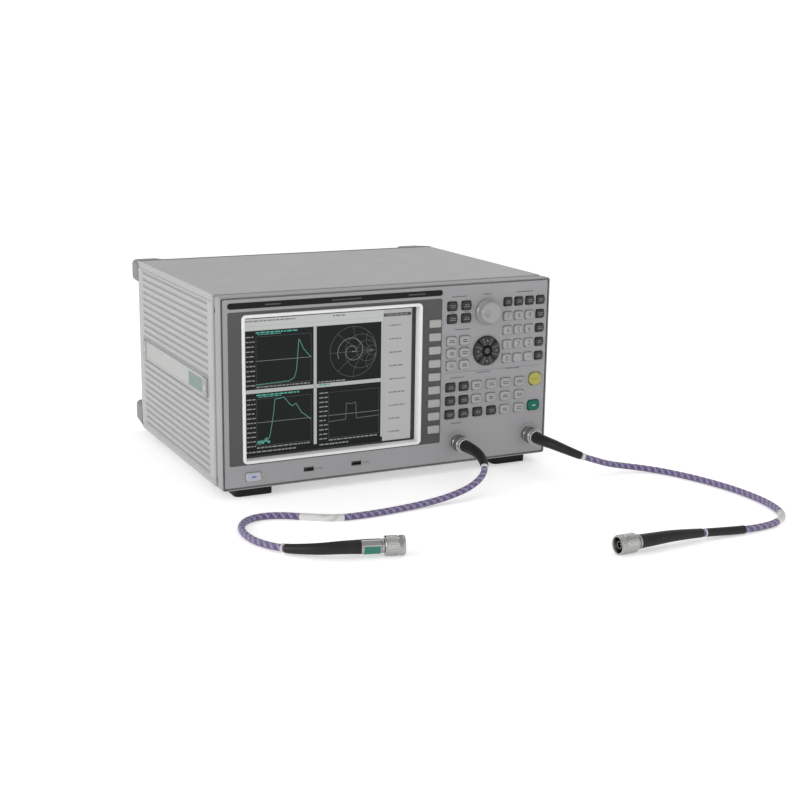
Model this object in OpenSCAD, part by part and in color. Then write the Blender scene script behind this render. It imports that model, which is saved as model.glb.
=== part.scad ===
// Bench-top vector network analyzer with two test cables.
// +X is the viewer's right, +Y runs from the front to the back, +Z is up.
// The origin is on the bench, under the middle of the case and its bumpers.

/* [Case] */
// Width over the front frame
case_w = 425; // [424:0.5:426]
// Height of the case without its feet
case_h = 222; // [222:0.5:224]
// Depth from the front frame to the rear panel
case_d = 320; // [318:1:326]
// Height of the feet
foot_h = 12; // [11.5:0.5:13]
// Corner radius of the front frame
frame_r = 3; // [3:0.5:5]
// Depth of the front frame
frame_d = 26; // [24:1:28]
// How far the rear bumpers stand out behind the case
bumper_out = 32; // [30:1:36]
// How far the rear bumpers stand proud of the covers and sides
bumper_proud = 0.5; // [0.3:0.1:1.5]

/* [Side panels] */
// Spacing of the horizontal ribs
rib_pitch = 8.4; // [8:0.1:8.6]
// Height of the groove between two ribs
groove_h = 4.2; // [3.8:0.1:4.4]
// Depth of the grooves
groove_d = 2.6; // [2:0.1:2.8]
// Width of the carrying straps
strap_w = 23.5; // [22:0.5:24]

/* [Keys] */
// How far the keys stand out of the panel
key_proud = 2; // [1.6:0.1:2.4]
// Travel of a key
key_travel = 1.2; // [0.8:0.1:1.4]
// Gap around each key
key_gap = 0.4; // [0.3:0.05:0.5]
// Radius of the tuning knob at its base
knob_r = 15.5; // [14:0.5:16]
// How far the knob stands out
knob_out = 12; // [10:0.5:13]

/* [Ports and cables] */
// Radius of the port thread
port_r = 7.9; // [7.8:0.05:7.95]
// How far the ports stand out of the panel
port_out = 14; // [13:0.5:15]
// Radius of the test cables
cable_r = 3.75; // [3.5:0.05:3.8]
// Radius of the free coupling nuts
far_nut_r = 10.5; // [10:0.25:10.5]
// Length of the free coupling nuts
far_nut_l = 21; // [18:1:24]

/* [Hidden] */
$fn = 64;
eps = 0.01;

// Main planes of the case
half_w = case_w / 2;
base_z = foot_h;
top_z = foot_h + case_h;
front_y = -(case_d + bumper_out - port_out) / 2;
rear_y = front_y + case_d;
mid_z = base_z + case_h / 2;

// Front frame: a thin lip round the panel, a shoulder behind it, a thicker rear part
lip_t = 1.2;
panel_gap = 2;
panel_t = 3;
panel_y = front_y + 0.4;
shoulder_t = 2;
shoulder_w = 6;
frame_wall = 4.5;
rack_hole_r = 2;
rack_hole_y = front_y + 19.6;
rack_hole_z = [base_z + 9.2, base_z + 205.2];
rack_boss = 12;

// Rear bumpers
bumper_w = 37.5;
bumper_h = 30;
bumper_taper = [2, 2.8];
bumper_cut = [16, 12];

// Carrying straps and their end caps
strap_y = [front_y + 58, rear_y - 34];
cap_l = 14;

// Panel layout: heights are above the bottom of the case
panel_back = panel_y + panel_t;
panel_left = -203.5;
display_right = 64;
surround_z = [28.3, 204.5];
strip_z = [208, 214.8];
bezel_x = [-187.5, 37];
bezel_z = [30, 201];
bezel_border = 4;
bezel_proud = 2.5;
screen_y = front_y + 8;
window_t = 1.2;

// Keys: a stem through the panel and a flange that holds it behind the panel
flange_w = 0.9;
flange_t = 1.4;
flange_y = panel_back + 0.15;
board_y = flange_y + flange_t + key_travel + 0.6;
board_margin = 9;
softkey_size = [15.5, 9.7];
softkey_x = 54.5;
softkey_z = [for (i = [0 : 8]) 175.2 - 16.16 * i];
entry_size = [11.5, 10.5];
entry_x = [for (i = [0 : 3]) 153.5 + 15.3 * i];
entry_z = [for (i = [0 : 4]) 195.2 - 17.4 * i];
block_size = [13, 11];
channel_x = [77.3, 96.3];
channel_z = [194.3, 179];
response_x = [77, 94.8];
response_z = [152.2, 137.4, 122.4];
lower_z = [95.5, 78.7, 62];
stimulus_x = [77, 95.4];
marker_x = [for (i = [0 : 3]) 112.7 + 20.1 * i];
sweep_x = [for (i = [0 : 3]) 76.5 + 19.3 * i];
trigger_pos = [195.5, 96.5];
trigger_size = [17, 16];
preset_pos = [194.3, 63];
preset_size = [17, 13];
knob_pos = [125, 185];
knob_tip_r = 12.5;
arrow_pos = [125.2, 137.2];
arrow_r = 18;
arrow_inner_r = 6.6;
arrow_gap_deg = 4;
center_r = 4.6;
power_pos = [-175.5, 14.2];
power_size = [18, 9.8];
led_pos = [-163, 15];
usb_pos = [[-107, 15], [-46.5, 15.2]];
usb_size = [13.2, 5.8];
port_pos = [[88, 26.5], [188, 26.5]];
port_z = base_z + port_pos[0][1];

// Rear panel layout
fan_pos = [110, 145];
fan_size = 92;
fan_bore_r = 43;
fan_depth = 25;
inlet_pos = [130, 48];
inlet_cavity = [24.5, 17, 17];
jack_pos = [-60, 60];
jack_size = [17, 14, 18];
bnc_x = [for (i = [0 : 3]) -180 + 24 * i];
bnc_z = 175;

// Feet and tilt legs
foot_size = [46, 34];
foot_x = 170;
foot_y = [front_y + 12, rear_y - 50];
leg_pin_r = 1.6;
leg_gap = 0.08;
leg_w = 26;
leg_l = 34;
leg_y = foot_y[0] + foot_size[1] + 4;
leg_pivot_z = base_z - 5;
leg_eye_r = 3.2;

// Cable routes from the port to the plug, laid on the bench by hand
route_1 = [
    [88, -189, 38.5], [88, -205, 38.5], [87.5, -220, 37.5], [86, -234, 34.5],
    [82, -247, 29.5], [75, -257, 24], [63, -265, 18.5], [48, -270, 13.5], [30, -273, 9.5],
    [8, -276, 6.5], [-17, -278, 4.5], [-45, -281, 3.8], [-76, -284, 3.8], [-103, -284, 3.8],
    [-123, -281, 3.8], [-140, -272, 3.8], [-156, -261, 3.8], [-171, -251, 3.8],
    [-188, -245, 3.8], [-204, -246, 3.8], [-217, -254, 3.8], [-227, -270, 3.8],
    [-231, -291, 3.8], [-229, -315, 3.9], [-221, -337, 4.4], [-210, -355, 5.5],
    [-197, -368, 7], [-181, -380.5, 9], [-164.1, -389.2, 10.6], [-145, -395, 10.6]
];
route_2 = [
    [188, -189, 38.5], [188, -205, 38.5], [193, -222, 37], [203, -235, 32.5],
    [218, -244, 26], [236, -248, 19.5], [256, -250, 13], [280, -253, 8], [301, -262, 5],
    [317, -279, 3.8], [327, -300, 3.8], [336, -324, 3.8], [343, -349, 3.8], [348, -376, 3.8],
    [350, -404, 3.8], [349, -428, 3.8], [345, -448, 3.8], [338, -466, 3.8],
    [326, -481, 3.8], [308, -491, 3.8], [285, -496, 4], [260, -497, 4.6], [232, -496, 6],
    [205, -495.2, 7.8], [184, -495.8, 9.4], [163, -496.6, 10.6], [141, -497, 10.6],
    [123, -497.33, 10.6]
];
boot_r = [7.5, 7.1, 6.4, 5.4, 4.8];
boot_rings = len(boot_r);
plug_gap = 0.05;
plug_l = [24, 6]; // the second boot covers most of its ferrule
plug_r = 8;
port_nut_r = 10.2;
port_nut_y = front_y - 20;

// Colours
shell_grey = [0.75, 0.75, 0.74];
panel_grey = [0.6, 0.6, 0.61];
dark_grey = [0.33, 0.34, 0.33];
light_key = [0.7, 0.7, 0.71];
dark_key = [0.2, 0.2, 0.21];
steel = [0.78, 0.78, 0.8];
black = [0.08, 0.08, 0.08];

// ---------- shared shapes ----------

// Flat rectangle with round corners, centred
module round_rect(w, h, r) {
    square([w - 2 * r, h], center = true);
    square([w, h - 2 * r], center = true);
    for (x = [-1, 1], z = [-1, 1])
        translate([x * (w / 2 - r), z * (h / 2 - r)]) circle(r);
}

// Turns an XY outline into a wall that faces the front, from y0 to y1
module wall(y0, y1) {
    translate([0, y1, 0]) rotate([90, 0, 0]) linear_extrude(y1 - y0) children();
}

// Round bar along Y
module bar_y(x, z, r, y0, y1) {
    translate([x, y1, z]) rotate([90, 0, 0]) cylinder(r = r, h = y1 - y0);
}

// Box from its lowest and highest corners
module block(low, high) {
    translate(low) cube(high - low);
}

// Key outlines on the panel
module key_outlines(size, positions, grow = 0, r = 1.6) {
    for (p = positions)
        translate([p[0], base_z + p[1]]) round_rect(size[0] + 2 * grow, size[1] + 2 * grow, r + grow);
}

// A bank of keys: caps with a stem, and a flange behind the panel
module key_bank(size, positions, shade, r = 1.6) {
    color(shade) {
        wall(front_y - key_proud, flange_y + eps) key_outlines(size, positions, 0, r);
        wall(flange_y, flange_y + flange_t) key_outlines(size, positions, flange_w, r);
    }
}

function grid(xs, zs) = [for (z = zs, x = xs) [x, z]];

// ---------- tube swept along a route ----------

function unit(v) = v / norm(v);
function tangent(p, i) = unit(p[min(i + 1, len(p) - 1)] - p[max(i - 1, 0)]);
function ring(p, i, r, sides) =
    let (t = tangent(p, i), s = unit(cross(t, [0, 0, 1])), u = cross(s, t))
    [for (k = [0 : sides - 1])
        p[i] + r * (cos(360 * k / sides) * s + sin(360 * k / sides) * u)];

module swept(p, radii, sides) {
    n = len(p);
    rings = [for (i = [0 : n - 1]) each ring(p, i, radii[i], sides)];
    sides_quads = [for (i = [0 : n - 2], k = [0 : sides - 1])
        let (a = i * sides + k, b = i * sides + (k + 1) % sides)
        [a, a + sides, b + sides, b]];
    first_cap = [[for (k = [0 : sides - 1]) k]];
    last_cap = [[for (k = [sides - 1 : -1 : 0]) (n - 1) * sides + k]];
    polyhedron(rings, concat(first_cap, sides_quads, last_cap), convexity = 8);
}

function head(p, n) = [for (i = [0 : n - 1]) p[i]];
function tail(p, n) = [for (i = [0 : n - 1]) p[len(p) - 1 - i]];
function same(v, n) = [for (i = [0 : n - 1]) v];

// ---------- case ----------

module frame_outline(inset, r) {
    translate([0, mid_z]) round_rect(case_w - 2 * inset, case_h - 2 * inset, r);
}

module front_frame() {
    shoulder_y = panel_back;
    color(shell_grey) difference() {
        union() {
            difference() {
                wall(front_y, front_y + frame_d) frame_outline(0, frame_r);
                wall(front_y - eps, shoulder_y) frame_outline(lip_t, frame_r - 1);
                wall(shoulder_y - eps, shoulder_y + shoulder_t)
                    frame_outline(shoulder_w, frame_r - 1);
                wall(shoulder_y + shoulder_t - eps, front_y + frame_d + eps)
                    frame_outline(frame_wall, frame_r - 2);
            }
            for (s = [-1, 1], z = rack_hole_z)
                translate([s * (half_w - frame_wall - rack_boss / 4), rack_hole_y, z])
                    cube([rack_boss / 2 + 1, rack_boss, rack_boss], center = true);
        }
        for (s = [-1, 1], z = rack_hole_z)
            translate([s * half_w, rack_hole_y, z]) rotate([0, 90, 0])
                cylinder(r = rack_hole_r, h = 50, center = true);
    }
}

module panel_cutouts() {
    translate([(panel_left + display_right) / 2, base_z + (surround_z[0] + surround_z[1]) / 2])
        round_rect(display_right - panel_left, surround_z[1] - surround_z[0], 2);
    key_outlines(block_size, grid(channel_x, channel_z), key_gap);
    key_outlines(block_size, grid(response_x, response_z), key_gap);
    key_outlines(entry_size, grid(entry_x, entry_z), key_gap);
    key_outlines(block_size, grid(stimulus_x, [lower_z[0], lower_z[1]]), key_gap);
    key_outlines(block_size, grid(marker_x, [lower_z[0], lower_z[1]]), key_gap);
    key_outlines(block_size, grid(sweep_x, [lower_z[2]]), key_gap);
    key_outlines(block_size, grid([marker_x[2], marker_x[3]], [lower_z[2]]), key_gap);
    key_outlines(trigger_size, [trigger_pos], key_gap, 5);
    key_outlines(preset_size, [preset_pos], key_gap, 4);
    key_outlines(power_size, [power_pos], key_gap, 1.6);
    key_outlines(usb_size, usb_pos, 0, 0.2);
    translate([knob_pos[0], base_z + knob_pos[1]]) circle(4);
    translate([arrow_pos[0], base_z + arrow_pos[1]]) circle(arrow_r + key_gap);
    translate([led_pos[0], base_z + led_pos[1]]) circle(1.6);
    for (p = port_pos) translate([p[0], base_z + p[1]]) circle(port_r);
}

module front_panel() {
    color(panel_grey) difference() {
        wall(panel_y, panel_back) frame_outline(lip_t + panel_gap, frame_r - 1);
        wall(panel_y - 1, panel_back + 1) panel_cutouts();
    }
}

module name_strip() {
    color(black) wall(panel_y - 0.6, panel_y)
        translate([(panel_left + display_right) / 2, base_z + (strip_z[0] + strip_z[1]) / 2])
            round_rect(display_right - panel_left, strip_z[1] - strip_z[0], 3);
}

module bezel_outline(inset, r) {
    translate([(bezel_x[0] + bezel_x[1]) / 2, base_z + (bezel_z[0] + bezel_z[1]) / 2])
        round_rect(bezel_x[1] - bezel_x[0] - 2 * inset, bezel_z[1] - bezel_z[0] - 2 * inset, r);
}

module display_surround() {
    fit = 0.2;
    color(dark_grey) difference() {
        wall(panel_y - 0.2, panel_back)
            translate([(panel_left + display_right) / 2,
                    base_z + (surround_z[0] + surround_z[1]) / 2])
                round_rect(display_right - panel_left - 2 * fit,
                    surround_z[1] - surround_z[0] - 2 * fit, 2);
        wall(panel_y - 1, panel_back + 1) {
            bezel_outline(0, 5);
            key_outlines(softkey_size, grid([softkey_x], softkey_z), key_gap);
        }
    }
}

module display_bezel() {
    color(shell_grey) difference() {
        wall(front_y - bezel_proud, screen_y) bezel_outline(0, 5);
        wall(front_y - bezel_proud - 1, screen_y + 1) bezel_outline(bezel_border, 3);
    }
}

module display_window() {
    color([0.2, 0.25, 0.28]) wall(screen_y, screen_y + window_t) bezel_outline(1, 3);
}

module lcd_module() {
    back_y = screen_y + window_t;
    color(steel) {
        wall(back_y, back_y + 8) bezel_outline(-1, 2);
        wall(back_y + 8, back_y + 11) bezel_outline(30, 2);
    }
}

module key_board() {
    low = [display_right + 4, board_y, base_z + 50];
    color([0.1, 0.35, 0.2]) difference() {
        block(low, [half_w - board_margin, board_y + 1.6, top_z - 12]);
        bar_y(knob_pos[0], base_z + knob_pos[1], 3.4, board_y - 1, board_y + 3);
    }
    color(steel) difference() {
        bar_y(knob_pos[0], base_z + knob_pos[1], 6, board_y + 1.6, board_y + 9);
        bar_y(knob_pos[0], base_z + knob_pos[1], 3.4, board_y, board_y + 10);
    }
    color([0.1, 0.35, 0.2]) block([softkey_x - 9.5, screen_y + 1, base_z + 38],
        [softkey_x + 9.5, screen_y + 2.6, base_z + 184]);
}

module chassis_tray() {
    wall_x = half_w - frame_wall;
    tongue_x = wall_x - rack_boss;
    floor_z = base_z + frame_wall;
    start_y = front_y + frame_d;
    color(steel) {
        block([-tongue_x, start_y - 8, floor_z], [tongue_x, start_y + 1, floor_z + 1.5]);
        block([-wall_x, start_y, floor_z], [wall_x, rear_y - 1.5, floor_z + 1.5]);
        for (s = [-1, 1])
            translate([s * (wall_x - 0.75), 0, 0])
                block([-0.75, start_y, floor_z], [0.75, rear_y - 1.5, top_z - 8]);
    }
}

module cover_sheet(z0, lip_low, lip_high) {
    t = 1.5;
    edge_x = half_w - 0.5;
    block([-edge_x, front_y + frame_d, z0], [edge_x, rear_y, z0 + t]);
    for (s = [-1, 1])
        translate([s * (edge_x - t / 2), 0, 0])
            block([-t / 2, front_y + frame_d, lip_low], [t / 2, rear_y, lip_high]);
}

module top_cover() {
    color([0.66, 0.66, 0.66]) cover_sheet(top_z - 1.5, top_z - 8, top_z);
}

module bottom_cover() {
    color([0.6, 0.6, 0.6]) cover_sheet(base_z, base_z, base_z + 7);
}

// Ribbed cross-section of the left side panel, in X and Z
module rib_section() {
    inner_x = -half_w + 4.4;
    outer_x = -half_w;
    low_z = base_z + 7.3;
    high_z = top_z - 8.3;
    difference() {
        translate([outer_x, low_z]) square([inner_x - outer_x, high_z - low_z]);
        for (z = [mid_z + rib_pitch / 2 : rib_pitch : high_z - 4])
            if (z > mid_z + strap_w / 2) translate([outer_x - 1, z]) square([groove_d + 1, groove_h]);
        for (z = [mid_z - rib_pitch / 2 : -rib_pitch : low_z + 4])
            if (z < mid_z - strap_w / 2)
                translate([outer_x - 1, z - groove_h]) square([groove_d + 1, groove_h]);
    }
}

module side_panel() {
    rib_y = [front_y + 45, rear_y - 19];
    panel_start = front_y + frame_d + 0.3;
    inner_x = -half_w + 4.4;
    color(shell_grey) {
        wall(rib_y[0], rib_y[1]) rib_section();
        block([-half_w, panel_start, base_z + 7.3], [inner_x, rib_y[0] + eps, top_z - 8.3]);
        block([-half_w, rib_y[1] - eps, base_z + 7.3], [inner_x, rear_y, top_z - 8.3]);
    }
}

module left_side_panel() { side_panel(); }
module right_side_panel() { mirror([1, 0, 0]) side_panel(); }

module side_straps() {
    color([0.7, 0.7, 0.69]) for (s = [-1, 1])
        translate([s * (half_w + 1), 0, 0])
            block([-1, strap_y[0], mid_z - strap_w / 2], [1, strap_y[1], mid_z + strap_w / 2]);
}

module strap_caps() {
    color([0.5, 0.5, 0.5]) for (s = [-1, 1], y = [strap_y[0] - cap_l, strap_y[1]])
        translate([s * (half_w + 1.2), y + cap_l / 2, mid_z]) rotate([0, 90, 0])
            linear_extrude(2.4, center = true) round_rect(strap_w, cap_l, 2.5);
}

// ---------- rear ----------

module rear_panel() {
    color(steel) difference() {
        wall(rear_y - 1.5, rear_y) frame_outline(frame_wall, 1);
        wall(rear_y - 3, rear_y + 1) {
            translate([fan_pos[0], base_z + fan_pos[1]]) circle(fan_bore_r);
            translate([inlet_pos[0], base_z + inlet_pos[1]]) square([28.2, 20.6], center = true);
            translate([jack_pos[0], base_z + jack_pos[1]])
                square([jack_size[0] + 0.2, jack_size[1] + 0.2], center = true);
            for (x = bnc_x) translate([x, base_z + bnc_z]) circle(4.8);
        }
    }
}

// Cuts an edge at 45 degrees: children place the edge along the cutter's Z axis
module edge_cut(depth) {
    side = depth * sqrt(2);
    rotate([0, 0, 45]) cube([side, side, 200], center = true);
}

// Outline of a bumper in X and Z, trimmed on its outer side and its top
module bumper_outline(side_trim, top_trim) {
    inner_x = half_w - bumper_w;
    outer_x = half_w + bumper_proud - side_trim;
    low_z = top_z - bumper_h;
    high_z = top_z + bumper_proud - top_trim;
    translate([(inner_x + outer_x) / 2, (low_z + high_z) / 2])
        round_rect(outer_x - inner_x, high_z - low_z, 6);
}

// Bumper behind the case corner at +X and the top, narrowing towards its rear end
module bumper() {
    end_y = rear_y + bumper_out;
    difference() {
        hull() {
            wall(rear_y, rear_y + 1) bumper_outline(0, 0, $fn = 32);
            wall(end_y - 1, end_y) bumper_outline(bumper_taper[0], bumper_taper[1], $fn = 32);
        }
        translate([half_w - bumper_w, end_y, 0]) edge_cut(bumper_cut[0]);
        translate([0, end_y, top_z - bumper_h]) rotate([0, 90, 0]) edge_cut(bumper_cut[1]);
    }
}

module rear_bumpers() {
    color([0.72, 0.72, 0.71]) for (s = [0, 1], v = [0, 1])
        mirror([s, 0, 0]) translate([0, 0, v * 2 * mid_z]) mirror([0, 0, v]) bumper();
}

module fan_housing() {
    y1 = rear_y - 1.5;
    cz = base_z + fan_pos[1];
    color(black) {
        difference() {
            wall(y1 - fan_depth, y1) translate([fan_pos[0], cz]) round_rect(fan_size, fan_size, 5);
            bar_y(fan_pos[0], cz, fan_bore_r, y1 - fan_depth - 1, y1 + 1);
        }
        difference() {
            union() {
                bar_y(fan_pos[0], cz, 14, y1 - fan_depth, y1 - fan_depth + 3);
                for (a = [0 : 90 : 270]) translate([fan_pos[0], y1 - fan_depth + 1.5, cz])
                    rotate([0, a + 45, 0]) translate([fan_bore_r / 2 + 4, 0, 0])
                        cube([fan_bore_r, 3, 4], center = true);
            }
            bar_y(fan_pos[0], cz, 2, y1 - fan_depth - 1, y1 - fan_depth + 4);
        }
    }
}

module fan_rotor() {
    y1 = rear_y - 1.5;
    cz = base_z + fan_pos[1];
    color([0.15, 0.15, 0.16]) {
        bar_y(fan_pos[0], cz, 17, y1 - fan_depth + 4, y1 - 3);
        bar_y(fan_pos[0], cz, 1.95, y1 - fan_depth + 0.5, y1 - fan_depth + 5);
        for (a = [0 : 360 / 7 : 359]) translate([fan_pos[0], y1 - fan_depth / 2, cz])
            rotate([0, a, 0]) translate([28.5, 0, 0]) rotate([38, 0, 0])
                cube([25, 2, 20], center = true);
    }
}

module fan_guard() {
    cz = base_z + fan_pos[1];
    guard_y = rear_y + 1.2;
    color("silver") {
        for (r = [12 : 10 : 42]) translate([fan_pos[0], guard_y, cz]) rotate([90, 0, 0])
            rotate_extrude() translate([r, 0]) circle(1);
        for (a = [45, 135]) translate([fan_pos[0], rear_y + 2.8, cz]) rotate([0, a, 0])
            rotate([0, 90, 0]) cylinder(r = 1, h = 2 * 58, center = true);
        for (a = [45 : 90 : 315]) translate([fan_pos[0], 0, cz]) rotate([0, a, 0])
            translate([58, 0, 0]) rotate([0, -a, 0]) bar_y(0, 0, 3.5, rear_y, rear_y + 3.8);
    }
}

module power_inlet() {
    cx = inlet_pos[0];
    cz = base_z + inlet_pos[1];
    y0 = rear_y - 20;
    color(black) difference() {
        union() {
            wall(y0, rear_y + 2) translate([cx, cz]) square([28, 20.4], center = true);
            wall(rear_y, rear_y + 2.5) translate([cx, cz]) round_rect(50, 26, 4);
        }
        wall(rear_y + 2.5 - inlet_cavity[1], rear_y + 4) translate([cx, cz])
            square([inlet_cavity[0], inlet_cavity[2]], center = true);
        for (s = [-1, 1]) bar_y(cx + s * 20, cz, 1.8, rear_y - 1, rear_y + 4);
    }
    color("silver") for (p = [[-7, -2], [0, 2], [7, -2]])
        translate([cx + p[0], rear_y - 8, cz + p[1]]) cube([2, 14, 4], center = true);
}

module rear_connectors() {
    color("silver") for (x = bnc_x) {
        z = base_z + bnc_z;
        bar_y(x, z, 7, rear_y, rear_y + 2);
        bar_y(x, z, 4.7, rear_y - 12, rear_y + 14);
        translate([x, rear_y + 11, z]) cylinder(r = 1, h = 13, center = true);
    }
    color(steel) for (x = [-140, -60])
        wall(rear_y, rear_y + 7) translate([x, base_z + 110]) round_rect(58, 13, 3);
    color([0.1, 0.2, 0.5]) wall(rear_y, rear_y + 6) translate([10, base_z + 60]) round_rect(31, 12, 3);
}

module network_jack() {
    cz = base_z + jack_pos[1];
    color("silver") difference() {
        wall(rear_y - jack_size[2] + 1, rear_y + 1) translate([jack_pos[0], cz])
            square([jack_size[0], jack_size[1]], center = true);
        wall(rear_y - 13, rear_y + 2) translate([jack_pos[0], cz + 0.5])
            square([12, 9], center = true);
    }
}

// ---------- inside ----------

module main_board() {
    z = base_z + 24;
    color([0.1, 0.35, 0.2]) block([-195, front_y + 60, z], [40, rear_y - 20, z + 1.6]);
    color(steel) {
        for (y = [front_y + 75 : 60 : rear_y - 80], x = [-170, -60])
            block([x, y, z + 1.6], [x + 60, y + 40, z + 18]);
        for (x = [-185, 30], y = [front_y + 66, rear_y - 26])
            translate([x, y, base_z + frame_wall + 1.5]) cylinder(r = 3, h = z - base_z - frame_wall - 1.5);
    }
}

module power_supply() {
    color(steel) difference() {
        block([100, rear_y - 150, base_z + 60], [200, rear_y - 40, base_z + 185]);
        block([101.5, rear_y - 148.5, base_z + 61.5], [198.5, rear_y - 41.5, base_z + 183.5]);
    }
    color(steel) for (x = [104, 190], y = [rear_y - 146, rear_y - 50])
        block([x, y, base_z + frame_wall + 1.5], [x + 6, y + 6, base_z + 60]);
}

module test_set() {
    color([0.8, 0.78, 0.7]) {
        block([70, front_y + 62, base_z + frame_wall + 1.5], [96, front_y + 130, base_z + 48]);
        block([176, front_y + 62, base_z + frame_wall + 1.5], [202, front_y + 130, base_z + 48]);
        block([104, front_y + 80, base_z + frame_wall + 1.5], [168, front_y + 130, base_z + 44]);
    }
}

// Copper lines from the ports to the couplers
module semirigid_lines() {
    color("goldenrod") for (p = port_pos)
        bar_y(p[0], port_z, 1.8, front_y + 14, front_y + 62);
}

// ---------- small front pieces ----------

module port_sockets() {
    color("silver") for (p = port_pos) difference() {
        union() {
            bar_y(p[0], port_z, 8.8, panel_y - 3.5, panel_y);
            bar_y(p[0], port_z, port_r - 0.1, front_y - port_out, panel_back + 2);
            bar_y(p[0], port_z, 5, panel_back + 2, front_y + 14);
        }
        difference() {
            bar_y(p[0], port_z, 4.2, front_y - port_out - 1, front_y - 2);
            bar_y(p[0], port_z, 1.5, front_y - port_out - 1, front_y);
        }
    }
}

module usb_sockets() {
    color("silver") for (p = usb_pos) {
        difference() {
            wall(panel_y + 0.6, panel_y + 15)
                translate([p[0], base_z + p[1]]) square([13, 5.6], center = true);
            wall(panel_y, panel_y + 13)
                translate([p[0], base_z + p[1]]) square([12.4, 5], center = true);
        }
        wall(panel_y + 2, panel_y + 13.5)
            translate([p[0], base_z + p[1] + 1]) square([11, 1.8], center = true);
    }
}

module standby_led() {
    color("orange") bar_y(led_pos[0], base_z + led_pos[1], 1.5, panel_y - 0.5, panel_back + 3);
}

module tuning_knob() {
    cz = base_z + knob_pos[1];
    shaft_r = 3.35;
    color([0.78, 0.78, 0.77]) translate([knob_pos[0], front_y - 0.6, cz]) rotate([90, 0, 0])
        difference() {
            cylinder(r1 = knob_r, r2 = knob_tip_r, h = knob_out - 0.6);
            translate([-8.5 * 0.9, 0, knob_out + 2.4]) sphere(5.5);
        }
    color(steel) bar_y(knob_pos[0], cz, shaft_r, front_y - 1, board_y + 8.5);
}

// One quarter of the ring of arrow keys, centred on direction a
module arrow_key(a) {
    reach = 2 * arrow_r;
    side = reach * tan(45 - arrow_gap_deg / 2);
    color(dark_key)
        wall(front_y - key_proud - 0.6, flange_y) translate([arrow_pos[0], base_z + arrow_pos[1]])
            intersection() {
                difference() {
                    circle(arrow_r);
                    circle(arrow_inner_r);
                }
                rotate(a) polygon([[0, 0], [reach, -side], [reach, side]]);
            }
}

module up_key() { arrow_key(90); }
module down_key() { arrow_key(270); }
module left_key() { arrow_key(180); }
module right_key() { arrow_key(0); }

module center_key() {
    color(dark_key)
        bar_y(arrow_pos[0], base_z + arrow_pos[1], center_r, front_y - key_proud - 1, flange_y);
}

module power_key() { key_bank(power_size, [power_pos], [0.85, 0.87, 0.9]); }
module trigger_key() { key_bank(trigger_size, [trigger_pos], [0.8, 0.72, 0.18], 5); }
module preset_key() { key_bank(preset_size, [preset_pos], [0.05, 0.5, 0.38], 4); }
module softkeys() { key_bank(softkey_size, grid([softkey_x], softkey_z), light_key); }
module channel_keys() { key_bank(block_size, grid(channel_x, channel_z), dark_key); }
module response_keys() { key_bank(block_size, grid(response_x, response_z), light_key); }
module entry_top_keys() { key_bank(entry_size, grid(entry_x, [entry_z[0]]), dark_key); }

module entry_side_keys() {
    key_bank(entry_size, grid([entry_x[3]], [for (i = [1 : 4]) entry_z[i]]), dark_key);
}

module number_keys() {
    key_bank(entry_size, grid(head(entry_x, 3), [for (i = [1 : 4]) entry_z[i]]), light_key);
}

module stimulus_keys() { key_bank(block_size, grid(stimulus_x, head(lower_z, 2)), dark_key); }
module sweep_keys() { key_bank(block_size, grid(sweep_x, [lower_z[2]]), dark_key); }
module marker_keys() { key_bank(block_size, grid(marker_x, head(lower_z, 2)), light_key); }

module state_keys() {
    key_bank(block_size, grid([marker_x[2], marker_x[3]], [lower_z[2]]), light_key);
}

// ---------- feet, legs and screws ----------

module foot(y) {
    translate([0, y + foot_size[1] / 2, 0]) linear_extrude(base_z) round_rect(foot_size[0], foot_size[1], 6);
}

// Ears behind each front foot that carry a tilt leg
module leg_ears() {
    for (s = [-1, 1]) difference() {
        translate([s * (leg_w / 2 + 2.3), 0, 0])
            block([-2, foot_y[0] + foot_size[1] - 1, leg_pivot_z - 4],
                [2, foot_y[0] + foot_size[1] + 8, base_z]);
        translate([0, leg_y, leg_pivot_z]) rotate([0, 90, 0])
            cylinder(r = leg_pin_r + leg_gap, h = 60, center = true);
    }
}

module case_feet() {
    color(black) for (s = [-1, 1]) translate([s * foot_x, 0, 0]) {
        for (y = foot_y) foot(y);
        leg_ears();
    }
}

module tilt_leg() {
    color([0.15, 0.15, 0.15]) {
        translate([0, leg_y, leg_pivot_z]) rotate([0, 90, 0]) {
            cylinder(r = leg_pin_r, h = leg_w + 8, center = true);
            cylinder(r = leg_eye_r, h = leg_w, center = true);
        }
        block([-leg_w / 2, leg_y, leg_pivot_z - 1.8], [leg_w / 2, leg_y + leg_l, leg_pivot_z + 1.8]);
    }
}

module left_tilt_leg() { translate([-foot_x, 0, 0]) tilt_leg(); }
module right_tilt_leg() { translate([foot_x, 0, 0]) tilt_leg(); }

module case_screws() {
    color("silver") for (s = [-1, 1], y = [front_y + 40, rear_y - 60], z = [base_z + 3, top_z - 3.5])
        translate([s * (half_w - 0.5), y, z]) rotate([0, s * 90, 0]) cylinder(r1 = 2.5, r2 = 1.8, h = 0.9);
}

// ---------- cables ----------

module cable(route) {
    color([0.33, 0.25, 0.5]) swept(route, same(cable_r, len(route)), 10);
}

module cable_1() { cable(route_1); }
module cable_2() { cable(route_2); }

module cable_boots() {
    color(black) for (route = [route_1, route_2]) {
        swept(head(route, boot_rings), boot_r, 16);
        swept(tail(route, boot_rings), boot_r, 16);
    }
}

// Coupling nuts on the ports
module port_nuts() {
    color("silver") for (p = port_pos) difference() {
        bar_y(p[0], port_z, port_nut_r, port_nut_y, panel_y - 4);
        bar_y(p[0], port_z, port_r + 0.15, front_y - port_out - 1.5, panel_y);
    }
}

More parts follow.
